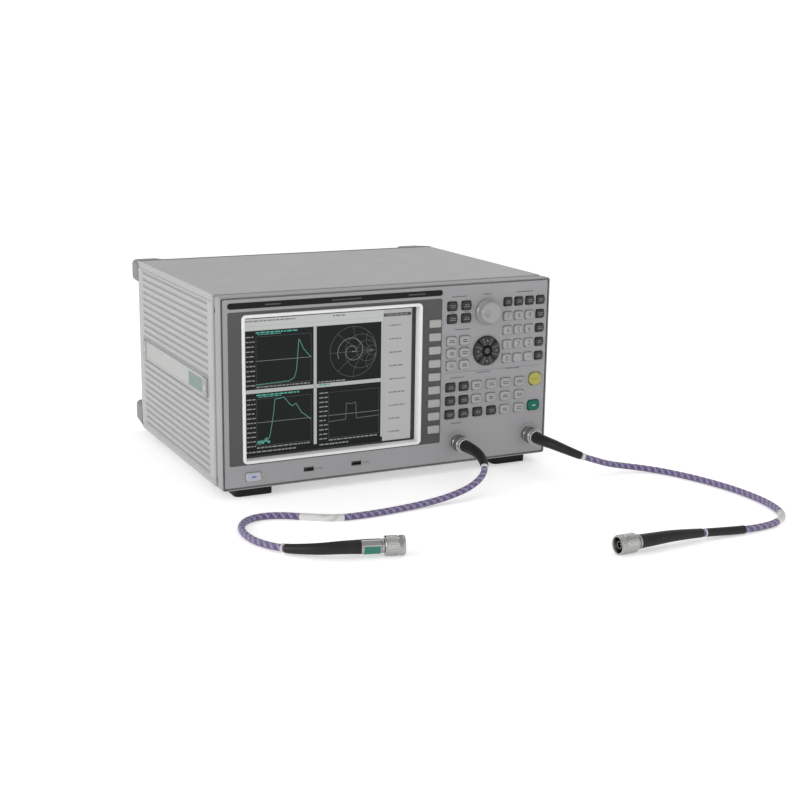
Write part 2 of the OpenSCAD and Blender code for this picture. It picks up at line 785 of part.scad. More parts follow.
// Places something that points along +X at the free end of a cable
module at_plug(i) {
    route = [route_1, route_2][i];
    end = route[len(route) - 1];
    run = end - route[len(route) - 2];
    translate(end) rotate([0, 0, atan2(run[1], run[0])]) translate([plug_gap, 0, 0]) children();
}

// Plug bodies: a ferrule, a shoulder that holds the nut, and an inner sleeve with a pin
module cable_plugs() {
    color("silver") for (i = [0, 1]) at_plug(i) rotate([0, 90, 0]) {
        cylinder(r = plug_r, h = plug_l[i]);
        translate([0, 0, plug_l[i]]) cylinder(r = 6, h = 6);
        translate([0, 0, plug_l[i] + 6]) difference() {
            cylinder(r = 4, h = far_nut_l - 8);
            translate([0, 0, 1]) cylinder(r = 3.2, h = far_nut_l);
        }
        translate([0, 0, plug_l[i] + 6]) cylinder(r = 0.8, h = far_nut_l - 9);
    }
}

module far_nut(i) {
    color("silver") at_plug(i) translate([plug_l[i] + 0.2, 0, 0]) rotate([0, 90, 0]) difference() {
        cylinder(r = far_nut_r, h = far_nut_l);
        translate([0, 0, -1]) cylinder(r = 6.06, h = far_nut_l);
        translate([0, 0, 6]) cylinder(r = port_r + 0.15, h = far_nut_l);
    }
}

module cable_1_far_nut() { far_nut(0); }
module cable_2_far_nut() { far_nut(1); }

front_frame();
front_panel();
name_strip();
display_surround();
display_bezel();
display_window();
lcd_module();
key_board();
chassis_tray();
top_cover();
bottom_cover();
left_side_panel();
right_side_panel();
side_straps();
strap_caps();
rear_panel();
rear_bumpers();
case_feet();
left_tilt_leg();
right_tilt_leg();
port_sockets();
usb_sockets();
power_key();
standby_led();
main_board();
power_supply();
test_set();
semirigid_lines();
fan_housing();
fan_rotor();
fan_guard();
power_inlet();
rear_connectors();
network_jack();
case_screws();
tuning_knob();
up_key();
down_key();
left_key();
right_key();
center_key();
trigger_key();
preset_key();
softkeys();
channel_keys();
response_keys();
entry_top_keys();
entry_side_keys();
number_keys();
stimulus_keys();
sweep_keys();
marker_keys();
state_keys();
cable_1();
cable_2();
cable_boots();
port_nuts();
cable_plugs();
cable_1_far_nut();
cable_2_far_nut();
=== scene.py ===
"""Looks of the bench-top vector network analyzer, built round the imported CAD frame."""
import math
import random

import bmesh
import bpy
from mathutils import Matrix, Vector


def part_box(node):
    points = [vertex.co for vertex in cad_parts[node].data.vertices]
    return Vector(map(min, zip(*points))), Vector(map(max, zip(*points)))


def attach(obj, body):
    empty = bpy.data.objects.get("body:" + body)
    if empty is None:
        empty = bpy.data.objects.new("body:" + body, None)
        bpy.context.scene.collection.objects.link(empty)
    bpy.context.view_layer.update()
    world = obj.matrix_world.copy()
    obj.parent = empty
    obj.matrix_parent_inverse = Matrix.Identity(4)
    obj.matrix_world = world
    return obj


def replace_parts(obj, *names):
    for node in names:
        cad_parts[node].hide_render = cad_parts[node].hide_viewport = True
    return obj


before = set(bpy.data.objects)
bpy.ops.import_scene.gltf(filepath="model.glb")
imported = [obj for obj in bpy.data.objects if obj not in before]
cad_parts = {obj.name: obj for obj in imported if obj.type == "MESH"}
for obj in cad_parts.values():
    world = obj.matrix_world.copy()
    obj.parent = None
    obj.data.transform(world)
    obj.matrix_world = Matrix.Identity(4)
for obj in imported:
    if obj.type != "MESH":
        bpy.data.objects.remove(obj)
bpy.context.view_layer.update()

MM = 0.001      # shapes are given in millimetres, and new_piece() turns them into metres


# ---------- camera, light and floor, in metres ----------

CAMERA_PLACE = Vector((-0.704, -1.605, 0.482))
CAMERA_YAW = math.radians(26.42)      # turned towards +X
CAMERA_PITCH = math.radians(13.45)    # looking down
CAMERA_ROLL = math.radians(0.77)
CAMERA_LENS = 62.7                    # millimetres, on a 36 mm sensor
WORLD_LIGHT = 0.92
ROOM_LIGHT = 0.62                     # the unlit room on the viewer's side
ROOM_DIRECTION = (-0.12, -0.98, 0.15)
ROOM_EDGE = (0.55, 0.95)              # how squarely a ray faces the room where it begins and is full
ZENITH_SHARE = 0.6
BACKDROP = 1.05                       # the world as the camera sees it
FLOOR_REACH = 6.0
LAMPS = (   # name, place, target, size, power
    ("key_light", (-2.3, -0.55, 0.75), (0, 0, 0.1), (1.6, 1.3), 22),
    ("top_light", (0.9, 0.5, 1.7), (0.1, 0, 0.1), (1.2, 1.2), 4),
    ("front_light", (0.4, -2.4, 0.8), (0, -0.17, 0.12), (1.8, 0.9), 6),
)


def add_object(name, data):
    item = bpy.data.objects.new(name, data)
    bpy.context.scene.collection.objects.link(item)
    return item


def make_camera():
    """The camera at the photograph's viewing angle."""
    forward = Vector((math.sin(CAMERA_YAW) * math.cos(CAMERA_PITCH),
                      math.cos(CAMERA_YAW) * math.cos(CAMERA_PITCH), -math.sin(CAMERA_PITCH)))
    level = Vector((math.cos(CAMERA_YAW), -math.sin(CAMERA_YAW), 0))
    upright = level.cross(forward)
    right = math.cos(CAMERA_ROLL) * level + math.sin(CAMERA_ROLL) * upright
    up = math.cos(CAMERA_ROLL) * upright - math.sin(CAMERA_ROLL) * level
    camera = add_object("camera", bpy.data.cameras.new("camera"))
    camera.data.lens = CAMERA_LENS
    camera.data.clip_start = 0.01
    facing_way = Matrix((right, up, -forward)).transposed().to_4x4()
    camera.matrix_world = Matrix.Translation(CAMERA_PLACE) @ facing_way
    bpy.context.scene.camera = camera


def area_light(name, place, target, size, power):
    lamp = bpy.data.lights.new(name, "AREA")
    lamp.shape = "RECTANGLE"
    lamp.size, lamp.size_y = size
    lamp.energy = power
    holder = add_object(name, lamp)
    holder.location = place
    holder.rotation_euler = (Vector(target) - Vector(place)).to_track_quat("-Z", "Y").to_euler()


def map_range(tree, source, values, kind="LINEAR"):
    """Maps source from the first two values to the last two."""
    node = tree.nodes.new("ShaderNodeMapRange")
    node.interpolation_type = kind
    for slot, value in zip(("From Min", "From Max", "To Min", "To Max"), values):
        node.inputs[slot].default_value = value
    tree.links.new(source, node.inputs["Value"])
    return node.outputs["Result"]


def make_world():
    """White light all round, dimmer from the viewer's side and from straight above."""
    world = bpy.data.worlds.new("studio")
    bpy.context.scene.world = world
    world.use_nodes = True
    tree = world.node_tree
    background = tree.nodes["Background"]
    background.inputs["Color"].default_value = (1, 1, 1, 1)
    facing_room = tree.nodes.new("ShaderNodeVectorMath")
    facing_room.operation = "DOT_PRODUCT"
    facing_room.inputs[1].default_value = ROOM_DIRECTION
    place = tree.nodes.new("ShaderNodeTexCoord").outputs["Generated"]
    tree.links.new(place, facing_room.inputs[0])
    levels = (*ROOM_EDGE, WORLD_LIGHT, ROOM_LIGHT)
    dim = map_range(tree, facing_room.outputs["Value"], levels, "SMOOTHSTEP")
    height = tree.nodes.new("ShaderNodeSeparateXYZ")
    tree.links.new(place, height.inputs[0])
    overhead = map_range(tree, height.outputs["Z"], (0.3, 1.0, 1.0, ZENITH_SHARE))
    light = tree.nodes.new("ShaderNodeMath")
    light.operation = "MULTIPLY"
    tree.links.new(dim, light.inputs[0])
    tree.links.new(overhead, light.inputs[1])
    path = tree.nodes.new("ShaderNodeLightPath")
    shown = tree.nodes.new("ShaderNodeMix")
    tree.links.new(path.outputs["Is Camera Ray"], shown.inputs[0])
    tree.links.new(light.outputs[0], shown.inputs[2])
    shown.inputs[3].default_value = BACKDROP
    tree.links.new(shown.outputs[0], background.inputs["Strength"])
    bpy.context.scene.view_settings.view_transform = "Standard"


def make_floor():
    """A plain pale floor at the height of the feet."""
    mesh = bpy.data.meshes.new("floor")
    corners = [(x * FLOOR_REACH, y * FLOOR_REACH, 0) for x, y in ((-1, -1), (1, -1), (1, 1), (-1, 1))]
    mesh.from_pydata(corners, [], [(0, 1, 2, 3)])
    mesh.materials.append(floor_paint())
    add_object("floor", mesh)


# ---------- node materials ----------

class Shade:
    """Builds one node material: a Principled shader whose colour, roughness and bump come from nodes."""

    def __init__(self, name, **values):
        self.material = bpy.data.materials.new(name)
        self.material.use_nodes = True
        self.tree = self.material.node_tree
        self.shader = self.tree.nodes["Principled BSDF"]
        self.place = self.add("ShaderNodeTexCoord").outputs["Object"]
        for slot, value in values.items():
            self.shader.inputs[slot.replace("_", " ")].default_value = value

    def add(self, kind, **settings):
        node = self.tree.nodes.new(kind)
        for key, value in settings.items():
            if key in node.bl_rna.properties:
                setattr(node, key, value)
            else:
                node.inputs[key.replace("_", " ")].default_value = value
        return node

    def join(self, source, target):
        self.tree.links.new(source, target)

    def fill(self, node, slots, values):
        """Gives each slot its value: a number, a colour or another node's output."""
        for slot, value in zip(slots, values):
            if isinstance(value, (int, float)):
                node.inputs[slot].default_value = value
            elif isinstance(value, tuple):
                node.inputs[slot].default_value = (*value, 1)
            else:
                self.join(value, node.inputs[slot])

    def noise(self, scale, detail=3.0, vector=None):
        node = self.add("ShaderNodeTexNoise", Scale=scale, Detail=detail, Roughness=0.55)
        self.join(vector or self.place, node.inputs["Vector"])
        return node.outputs["Fac"]

    def stretched(self, scale):
        node = self.add("ShaderNodeMapping")
        node.inputs["Scale"].default_value = scale
        self.join(self.place, node.inputs["Vector"])
        return node.outputs["Vector"]

    def math(self, operation, a, b=0.0):
        node = self.add("ShaderNodeMath", operation=operation)
        self.fill(node, (0, 1), (a, b))
        return node.outputs[0]

    def ramp(self, factor, low, high):
        """0 below low, 1 above high."""
        return map_range(self.tree, factor, (low, high, 0, 1), "SMOOTHSTEP")

    def mix(self, factor, a, b):
        node = self.add("ShaderNodeMix", data_type="RGBA")
        self.fill(node, (0, 6, 7), (factor, a, b))
        return node.outputs[2]

    def partly(self, factor, share, a, b):
        """a, with up to this share of b where the factor is high."""
        return self.mix(self.math("MULTIPLY", factor, share), a, b)

    def colour(self, value):
        self.join(value, self.shader.inputs["Base Color"])

    def glow(self, value, power):
        self.join(value, self.shader.inputs["Emission Color"])
        self.shader.inputs["Emission Strength"].default_value = power

    def roughness(self, base, spread, factor):
        value = map_range(self.tree, factor, (0, 1, base - spread, base + spread))
        self.join(value, self.shader.inputs["Roughness"])

    def bump(self, height, distance, strength):
        node = self.add("ShaderNodeBump", Distance=distance, Strength=strength)
        self.join(height, node.inputs["Height"])
        self.join(node.outputs["Normal"], self.shader.inputs["Normal"])


def scaled(colour, factor):
    return tuple(min(1.0, c * factor) for c in colour)


def painted(name, colour, rough=0.5, grain=2600.0, depth=0.00006, mottle=0.06, coat=0.0, shine=0.5):
    """Powder paint or moulded plastic: fine grain bump, faint cloudy tone, a few darker specks."""
    s = Shade(name, Coat_Weight=coat, Specular_IOR_Level=shine)
    cloud = s.noise(14.0, 4.0)
    specks = s.ramp(s.noise(900.0, 2.0), 0.70, 0.78)
    tone = s.mix(cloud, scaled(colour, 1 - mottle), scaled(colour, 1 + mottle))
    s.colour(s.partly(specks, 0.25, tone, scaled(colour, 0.7)))
    s.roughness(rough, 0.07, s.noise(40.0, 5.0))
    s.bump(s.noise(grain, 2.0), depth, 0.6)
    return s.material


def metal(name, colour, rough=0.3, brush=(60.0, 2400.0, 2400.0), depth=0.00004):
    """Machined or plated metal with fine tool marks and faint stains."""
    s = Shade(name, Metallic=1.0)
    marks = s.noise(1.0, 2.0, s.stretched(brush))
    s.colour(s.mix(s.noise(90.0, 5.0), scaled(colour, 0.88), scaled(colour, 1.06)))
    s.roughness(rough, 0.1, marks)
    s.bump(marks, depth, 0.5)
    return s.material


def rubber(name, colour, rough=0.62):
    """Dull rubber, dusty in patches."""
    s = Shade(name, Specular_IOR_Level=0.25)
    dust = s.ramp(s.noise(60.0, 6.0), 0.45, 0.75)
    s.colour(s.partly(dust, 0.5, colour, scaled(colour, 2.2)))
    s.roughness(rough, 0.1, s.noise(120.0, 3.0))
    s.bump(s.noise(1500.0, 3.0), 0.00008, 0.7)
    return s.material


def vinyl(name, colour):
    """Grained vinyl: small rounded cells."""
    s = Shade(name)
    cells = s.add("ShaderNodeTexVoronoi", Scale=700.0)
    s.join(s.place, cells.inputs["Vector"])
    s.colour(s.mix(s.noise(30.0), scaled(colour, 0.9), scaled(colour, 1.08)))
    s.roughness(0.5, 0.08, s.noise(200.0))
    s.bump(cells.outputs["Distance"], 0.0002, 0.5)
    return s.material


def lit(name, colour, power, grid=0.06):
    """Lit picture elements of the display, with the faint grid of its pixels."""
    s = Shade(name, Roughness=0.4, Specular_IOR_Level=0.16)
    waves = [s.add("ShaderNodeTexWave", bands_direction=way, Scale=520.0) for way in ("X", "Z")]
    for wave in waves:
        s.join(s.place, wave.inputs["Vector"])
    grid_tone = s.math("MULTIPLY", *(wave.outputs["Fac"] for wave in waves))
    cast = s.noise(9.0, 2.0)
    tone = s.mix(grid_tone, scaled(colour, 1 - grid), scaled(colour, 1 + grid))
    shown = s.partly(cast, 0.2, tone, scaled(colour, 0.8))
    s.colour(s.mix(0.75, shown, (0.0, 0.0, 0.0)))
    s.glow(shown, power)
    return s.material


def floor_paint():
    """Pale and faintly lit, so that it meets the backdrop without an edge."""
    s = Shade("floor_paint", Roughness=0.85)
    pale = s.mix(s.noise(3.0, 2.0), (0.90, 0.90, 0.90), (0.93, 0.93, 0.93))
    s.colour(pale)
    s.glow(pale, 0.40)
    return s.material


# painted shade: the dark colour blended into the underside of the braid
UNDERSIDE_SHADE = (0.030, 0.018, 0.07)


def braid():
    """Purple braid: crossing helical yarns with two pale tracer yarns, and painted shade that darkens its
    underside.
    """
    s = Shade("cable_braid", Sheen_Weight=0.3)
    uv = s.add("ShaderNodeUVMap", uv_map="along").outputs["UV"]
    split = s.add("ShaderNodeSeparateXYZ")
    s.join(uv, split.inputs["Vector"])
    along, around = split.outputs["X"], split.outputs["Y"]

    def helix(pitch, starts, way):
        phase = s.math("ADD", s.math("DIVIDE", along, pitch), s.math("MULTIPLY", around, starts * way))
        return s.math("SINE", s.math("MULTIPLY", phase, 2 * math.pi))

    left = helix(0.0016, 12, 1)
    right = helix(0.0016, 12, -1)
    weave = s.math("MULTIPLY", left, right)
    strands = s.ramp(weave, -0.6, 0.7)
    tracer = s.ramp(helix(0.009, 2, 1), 0.05, 0.9)
    second = s.ramp(helix(0.009, 2, -1), 0.6, 0.95)
    # painted shade: mask for the lower half of the braid, which faces away from the light
    underside_shade = s.ramp(s.math("SINE", s.math("MULTIPLY", around, -2 * math.pi)), -0.35, 1.0)
    yarn = s.mix(strands, (0.045, 0.025, 0.11), (0.17, 0.11, 0.34))
    pale = s.mix(strands, (0.33, 0.28, 0.48), (0.74, 0.71, 0.86))
    for factor, share, other in ((tracer, 0.62, pale), (second, 0.3, pale), (underside_shade, 0.7, UNDERSIDE_SHADE)):
        yarn = s.partly(factor, share, yarn, other)
    s.colour(s.partly(s.noise(300.0), 0.25, yarn, (0.10, 0.06, 0.22)))
    s.roughness(0.55, 0.1, s.noise(500.0))
    s.bump(weave, 0.0004, 0.8)
    return s.material


def sleeve_paper(name, colour):
    """Shrunk label sleeve with faint wrinkles across it and a worn patch."""
    s = Shade(name)
    worn = s.ramp(s.noise(70.0, 4.0), 0.5, 0.72)
    s.colour(s.partly(worn, 0.6, colour, (0.30, 0.27, 0.25)))
    s.roughness(0.45, 0.1, s.noise(90.0))
    s.bump(s.noise(320.0, 4.0), 0.0002, 0.6)
    return s.material


make_camera()
make_world()
for lamp in LAMPS:
    area_light(*lamp)
make_floor()

KEY_GRAIN = {"grain": 3800.0, "depth": 0.00003}
FRAME = painted("frame_paint", (0.280, 0.280, 0.277), 0.46)
CASE = painted("case_paint", (0.355, 0.355, 0.352), 0.46)
PANEL = painted("panel_paint", (0.288, 0.289, 0.296))
COVER = painted("cover_paint", (0.335, 0.335, 0.332), 0.45)
SURROUND = painted("surround_plastic", (0.056, 0.059, 0.057), grain=3400.0)
BEZEL = painted("bezel_plastic", (0.74, 0.74, 0.73), 0.4, grain=4200.0, depth=0.00003)
GLOSS = painted("strip_gloss", (0.010, 0.010, 0.011), 0.3, depth=0.00001, shine=0.12)
GLASS = painted("display_glass", (0.008, 0.009, 0.010), 0.16, depth=0.00001, coat=0.4)
BUMPER = painted("bumper_plastic", (0.165, 0.165, 0.163), grain=1800.0, depth=0.0001)
RIM = painted("rear_strip", (0.13, 0.13, 0.128), 0.55)
# black plastic parts, and also painted shade: the black slots and crosses that stand for shaded holes,
# vents and screw recesses
BLACK_AND_SHADE = painted("black_plastic", (0.018, 0.018, 0.019), 0.42, grain=2200.0, mottle=0.15)
LIGHT_KEY = painted("light_key", (0.315, 0.315, 0.32), 0.42, **KEY_GRAIN)
SOFT_KEY = painted("soft_key", (0.335, 0.335, 0.326), 0.42, **KEY_GRAIN)
DARK_KEY = painted("dark_key", (0.020, 0.020, 0.022), 0.42, shine=0.35, **KEY_GRAIN)
YELLOW_KEY = painted("trigger_key", (0.36, 0.34, 0.075), 0.4, **KEY_GRAIN)
GREEN_KEY = painted("preset_key", (0.0006, 0.118, 0.072), shine=0.3, **KEY_GRAIN)
POWER_KEY = painted("power_key", (0.40, 0.41, 0.46), 0.3, grain=3800.0, depth=0.00002, coat=0.3)
KNOB = painted("knob_plastic", (0.27, 0.27, 0.267), 0.2, grain=3000.0, depth=0.00002, coat=0.8)
AMBER = painted("led_lens", (0.52, 0.40, 0.26), 0.2, coat=0.3)
BOARD = painted("board", (0.012, 0.10, 0.045), 0.35, grain=1200.0, mottle=0.2)
CAP = painted("cap_plastic", (0.27, 0.27, 0.268), 0.45)
VIDEO_BLUE = painted("video_blue", (0.02, 0.07, 0.32), 0.4)
LABEL_GREEN = painted("label_green", (0.012, 0.15, 0.11), 0.4)
PRINT_DARK = painted("print_dark", (0.05, 0.05, 0.055), 0.6)
PRINT_FAINT = painted("print_faint", (0.135, 0.135, 0.14), 0.6)
PRINT_PALE = painted("print_pale", (0.42, 0.42, 0.42), 0.6)
PRINT_DIM = painted("print_dim", (0.17, 0.17, 0.175), 0.6)
PRINT_ROSE = painted("print_rose", (0.38, 0.24, 0.30), 0.6)
PRINT_OCHRE = painted("print_ochre", (0.36, 0.28, 0.02))
PRINT_BLUE = painted("print_blue", (0.06, 0.11, 0.42))
SHEET = metal("sheet_steel", (0.50, 0.51, 0.52), 0.36, brush=(90.0, 90.0, 1500.0), depth=0.00002)
STEEL = metal("connector_steel", (0.40, 0.395, 0.385), 0.2)
SCREW = metal("screw_steel", (0.56, 0.56, 0.56))
MACHINED = metal("machined_metal", (0.60, 0.59, 0.56), 0.32)
COPPER = metal("copper_line", (0.70, 0.36, 0.18))
GOLD = metal("gold_contact", (0.83, 0.60, 0.25), 0.22)
FOOT = rubber("foot_rubber", (0.005, 0.005, 0.005))
BOOT = rubber("boot_rubber", (0.012, 0.012, 0.013), 0.45)
STRAP = vinyl("strap_vinyl", (0.365, 0.365, 0.36))
PATCH_GREEN = vinyl("patch_green", (0.154, 0.214, 0.196))
LIT_BLACK = lit("lit_black", (0.010, 0.0125, 0.0118), 0.55, grid=0.3)
LIT_WHITE = lit("lit_white", (0.50, 0.515, 0.51), 0.8)
LIT_PALE = lit("lit_pale", (0.44, 0.44, 0.44), 0.75)
LIT_RAIL = lit("lit_rail", (0.43, 0.445, 0.44), 0.78)
LIT_TITLE = lit("lit_title", (0.085, 0.09, 0.09), 0.6)
LIT_LINE = lit("lit_line", (0.115, 0.125, 0.12), 0.75)
LIT_LABEL = lit("lit_label", (0.24, 0.25, 0.245), 0.8)
LIT_TEAL = lit("lit_teal", (0.08, 0.31, 0.26), 0.88)
LIT_DIM = lit("lit_dim_teal", (0.09, 0.25, 0.22), 0.85)
LIT_INK = lit("lit_ink", (0.24, 0.24, 0.245), 0.65)
BRAID = braid()
TAG = sleeve_paper("tag_sleeve", (0.60, 0.60, 0.59))


# ---------- mesh building, in millimetres ----------

SKIN = 0.06     # how far printed and lit marks stand proud


def node_box(node):
    """The corners of a CAD node's box, in millimetres."""
    return [[value / MM for value in corner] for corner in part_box(node)]


def node_face(node):
    """The middle (x, z), width and height of a CAD node seen from the front."""
    low, high = node_box(node)
    return ((low[0] + high[0]) / 2, (low[2] + high[2]) / 2), high[0] - low[0], high[2] - low[2]


def new_piece(name, verts, faces, material, body="case", soft_angle=35):
    """A mesh piece, made from corners in millimetres, that rides on a CAD body."""
    mesh = bpy.data.meshes.new(name)
    mesh.from_pydata([tuple(value * MM for value in v) for v in verts], [], faces)
    solid = bmesh.new()
    solid.from_mesh(mesh)
    bmesh.ops.remove_doubles(solid, verts=solid.verts, dist=1e-7)
    bmesh.ops.recalc_face_normals(solid, faces=solid.faces)
    solid.to_mesh(mesh)
    solid.free()
    for face in mesh.polygons:
        face.use_smooth = True
    mesh.set_sharp_from_angle(angle=math.radians(soft_angle))
    mesh.materials.append(material)
    piece = add_object(name, mesh)
    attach(piece, body)
    return piece


class Solid:
    """Collects several closed shapes into one mesh piece."""

    def __init__(self):
        self.verts = []
        self.faces = []

    def take(self, verts, faces):
        start = len(self.verts)
        self.verts += verts
        self.faces += [[start + i for i in face] for face in faces]

    def loft(self, loops, **options):
        self.take(*loft(loops, **options))

    def turn(self, place, direction, profile, sides):
        self.take(*loft(turned(place, direction, profile, sides)))

    def piece(self, name, material, body="case", **options):
        return new_piece(name, self.verts, self.faces, material, body, **options)


def round_rect(w, h, r, steps=6, middle=(0, 0)):
    """Points of a rectangle with round corners, anticlockwise from the front."""
    r = min(r, w / 2, h / 2)
    points = []
    for corner, (sx, sz) in enumerate(((1, 1), (-1, 1), (-1, -1), (1, -1))):
        for i in range(steps + 1):
            a = math.radians(90 * corner + 90 * i / steps)
            points.append((middle[0] + sx * (w / 2 - r) + r * math.cos(a),
                           middle[1] + sz * (h / 2 - r) + r * math.sin(a)))
    return points


def loft(loops, joined=False):
    """Verts and faces between loops with the same number of points, closed at both ends or joined up."""
    n = len(loops[0])
    rows = len(loops)
    verts = [v for loop in loops for v in loop]
    faces = []
    for i in range(rows if joined else rows - 1):
        j = (i + 1) % rows
        for k in range(n):
            m = (k + 1) % n
            faces.append([i * n + k, i * n + m, j * n + m, j * n + k])
    if not joined:
        faces.append(list(range(n)))
        faces.append(list(range((rows - 1) * n, rows * n)))
    return verts, faces


def facing(middle, sections, steps=6):
    """Loops for loft() that face the front: sections are (width, height, corner radius, y)."""
    return [[(x, y, z) for x, z in round_rect(w, h, r, steps, middle)] for w, h, r, y in sections]


def full_turn(count, way=1):
    return [way * 2 * math.pi * k / count for k in range(count)]


def ring(place, axis, angles, radius, upward=(0, 0, 1)):
    """Points round an axis, at the given angles."""
    side = axis.cross(Vector(upward))
    side = side.normalized() if side.length > 1e-4 else Vector((1, 0, 0))
    other = axis.cross(side)
    return [place + (side * math.cos(a) + other * math.sin(a)) * radius for a in angles]


def circle(x, z, radius, angles):
    """Points of a circle or an arc seen from the front."""
    return [(x + radius * math.cos(a), z + radius * math.sin(a)) for a in angles]


def turned(origin, direction, profile, sides=48, shape=None):
    """Loops of a turned shape: profile is (distance along, radius), and shape(angle, along) scales it."""
    axis = Vector(direction).normalized()
    loops = []
    for along, radius in profile:
        place = Vector(origin) + axis * along
        if shape is None:
            loops.append(ring(place, axis, full_turn(sides), radius))
        else:
            loops.append([ring(place, axis, [a], radius * shape(a, along))[0] for a in full_turn(sides)])
    return loops


def knurling(count, depth, spans):
    """Shape for turned(): a knurl along each (start, end) of spans, plain elsewhere."""
    def shape(a, along):
        if any(start <= along <= end for start, end in spans):
            return 1 - depth * (0.5 + 0.5 * math.cos(count * a)) ** 2
        return 1.0
    return shape


def prism(outline, y0, y1):
    """A flat closed outline in X and Z, given thickness along Y."""
    return loft([[(x, y, z) for x, z in outline] for y in (y0, y1)])


def bar(x0, z0, x1, z1, y):
    """A thin printed or lit rectangle standing on the plane y, towards the front."""
    return prism([(x0, z0), (x1, z0), (x1, z1), (x0, z1)], y - SKIN, y)


def line(points, width, y, closed=False):
    """A thin strip along points in X and Z."""
    points = [Vector(p) for p in points]
    if closed:
        points = points + [points[0]]
    loops = []
    for i, p in enumerate(points):
        before = points[i - 1] if i else (points[-2] if closed else p)
        after = points[i + 1] if i + 1 < len(points) else (points[1] if closed else p)
        run = (after - before).normalized()
        across = Vector((-run.y, run.x)) * width / 2
        one, other = p + across, p - across
        loops.append([(one.x, y - SKIN, one.y), (other.x, y - SKIN, other.y),
                      (other.x, y, other.y), (one.x, y, one.y)])
    return loft(loops)


def stand_in(pieces, *nodes):
    """These pieces are shown instead of the CAD nodes."""
    for piece in pieces:
        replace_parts(piece, *nodes)


# ---------- test cables ----------

CABLE_D = 7.5
ROUTES = [
    [(88, -189, 38.5), (88, -205, 38.5), (87.5, -220, 37.5), (86, -234, 34.5),
     (82, -247, 29.5), (75, -257, 24), (63, -265, 18.5), (48, -270, 13.5), (30, -273, 9.5),
     (8, -276, 6.5), (-17, -278, 4.5), (-45, -281, 3.8), (-76, -284, 3.8), (-103, -284, 3.8),
     (-123, -281, 3.8), (-140, -272, 3.8), (-156, -261, 3.8), (-171, -251, 3.8),
     (-188, -245, 3.8), (-204, -246, 3.8), (-217, -254, 3.8), (-227, -270, 3.8),
     (-231, -291, 3.8), (-229, -315, 3.9), (-221, -337, 4.4), (-210, -355, 5.5),
     (-197, -368, 7), (-181, -380.5, 9), (-164.1, -389.2, 10.6), (-145, -395, 10.6)],
    [(188, -189, 38.5), (188, -205, 38.5), (193, -222, 37), (203, -235, 32.5),
     (218, -244, 26), (236, -248, 19.5), (256, -250, 13), (280, -253, 8), (301, -262, 5),
     (317, -279, 3.8), (327, -300, 3.8), (336, -324, 3.8), (343, -349, 3.8), (348, -376, 3.8),
     (350, -404, 3.8), (349, -428, 3.8), (345, -448, 3.8), (338, -466, 3.8),
     (326, -481, 3.8), (308, -491, 3.8), (285, -496, 4), (260, -497, 4.6), (232, -496, 6),
     (205, -495.2, 7.8), (184, -495.8, 9.4), (163, -496.6, 10.6), (141, -497, 10.6),
     (123, -497.33, 10.6)],
]
PER_SPAN = 6              # route points between two of the points above
BOOT_SPANS = 4            # how many of those spans a boot covers
FERRULES = (24, 6)        # length of each free plug's ferrule
NUT_L = 21
NUT_R = 10.5
NUT_BORE = 6.06           # where a free nut runs on its plug
FREE_RINGS = (3, 1.5)     # width of the pale ring behind each free boot
SLEEVES = [   # name, first and last point on the smooth route, radius, finish
    [("cable_tag", 81, 97, 4, TAG)],
    [("cable_tag", 102, 114, 4, TAG), ("cable_sleeve", 126, 138, 4.55, BOOT)],
]


def smooth_route(points):
    """A smooth curve through the points (Catmull-Rom)."""
    p = [Vector(q) for q in points]
    p = [2 * p[0] - p[1]] + p + [2 * p[-1] - p[-2]]
    route = []
    for a, b, c, d in zip(p, p[1:], p[2:], p[3:]):
        for k in range(PER_SPAN):
            t = k / PER_SPAN
            route.append(0.5 * (2 * b + (c - a) * t + (2 * a - 5 * b + 4 * c - d) * t * t
                                + (3 * b - a - 3 * c + d) * t * t * t))
    route.append(p[-2])
    return route


def lengths(route):
    """How far each point is along the route."""
    total = [0.0]
    for a, b in zip(route, route[1:]):
        total.append(total[-1] + (b - a).length)
    return total


def tube_along(name, route, radii, material, sides=24):
    """A closed tube with UVs that run along it in metres and once round it."""
    travelled = lengths(route)
    loops = []
    for i, place in enumerate(route):
        ahead = (route[min(i + 1, len(route) - 1)] - route[max(i - 1, 0)]).normalized()
        loops.append(ring(place, ahead, full_turn(sides, -1), radii[i]))
    piece = new_piece(name, *loft(loops), material)
    layer = piece.data.uv_layers.new(name="along")
    for face in piece.data.polygons:
        turns = [v % sides for v in face.vertices]
        wraps = max(turns) - min(turns) > sides / 2
        for loop, vertex, turn in zip(face.loop_indices, face.vertices, turns):
            turn = sides if wraps and turn == 0 else turn
            layer.data[loop].uv = (travelled[vertex // sides] * MM, turn / sides)
    return piece


def make_boot(name, route):
    """A tapered rubber boot, with a slight lip at its connector end."""
    travelled = lengths(route)
    shares = [t / travelled[-1] for t in travelled]
    radii = [7.4 - 2.6 * share ** 1.1 + 0.2 * math.exp(-((share - 0.02) / 0.02) ** 2) for share in shares]
    return tube_along(name, route, radii, BOOT, sides=32)


def make_ring(name, route, index, radius, width):
    """A thin collar round the cable at one point of its route."""
    ahead = (route[index + 1] - route[index - 1]).normalized()
    start = route[index] - ahead * width / 2
    profile = [(0, radius - 0.6), (width * 0.15, radius), (width * 0.85, radius), (width, radius - 0.6)]
    return new_piece(name, *loft(turned(start, ahead, profile, 32)), TAG)


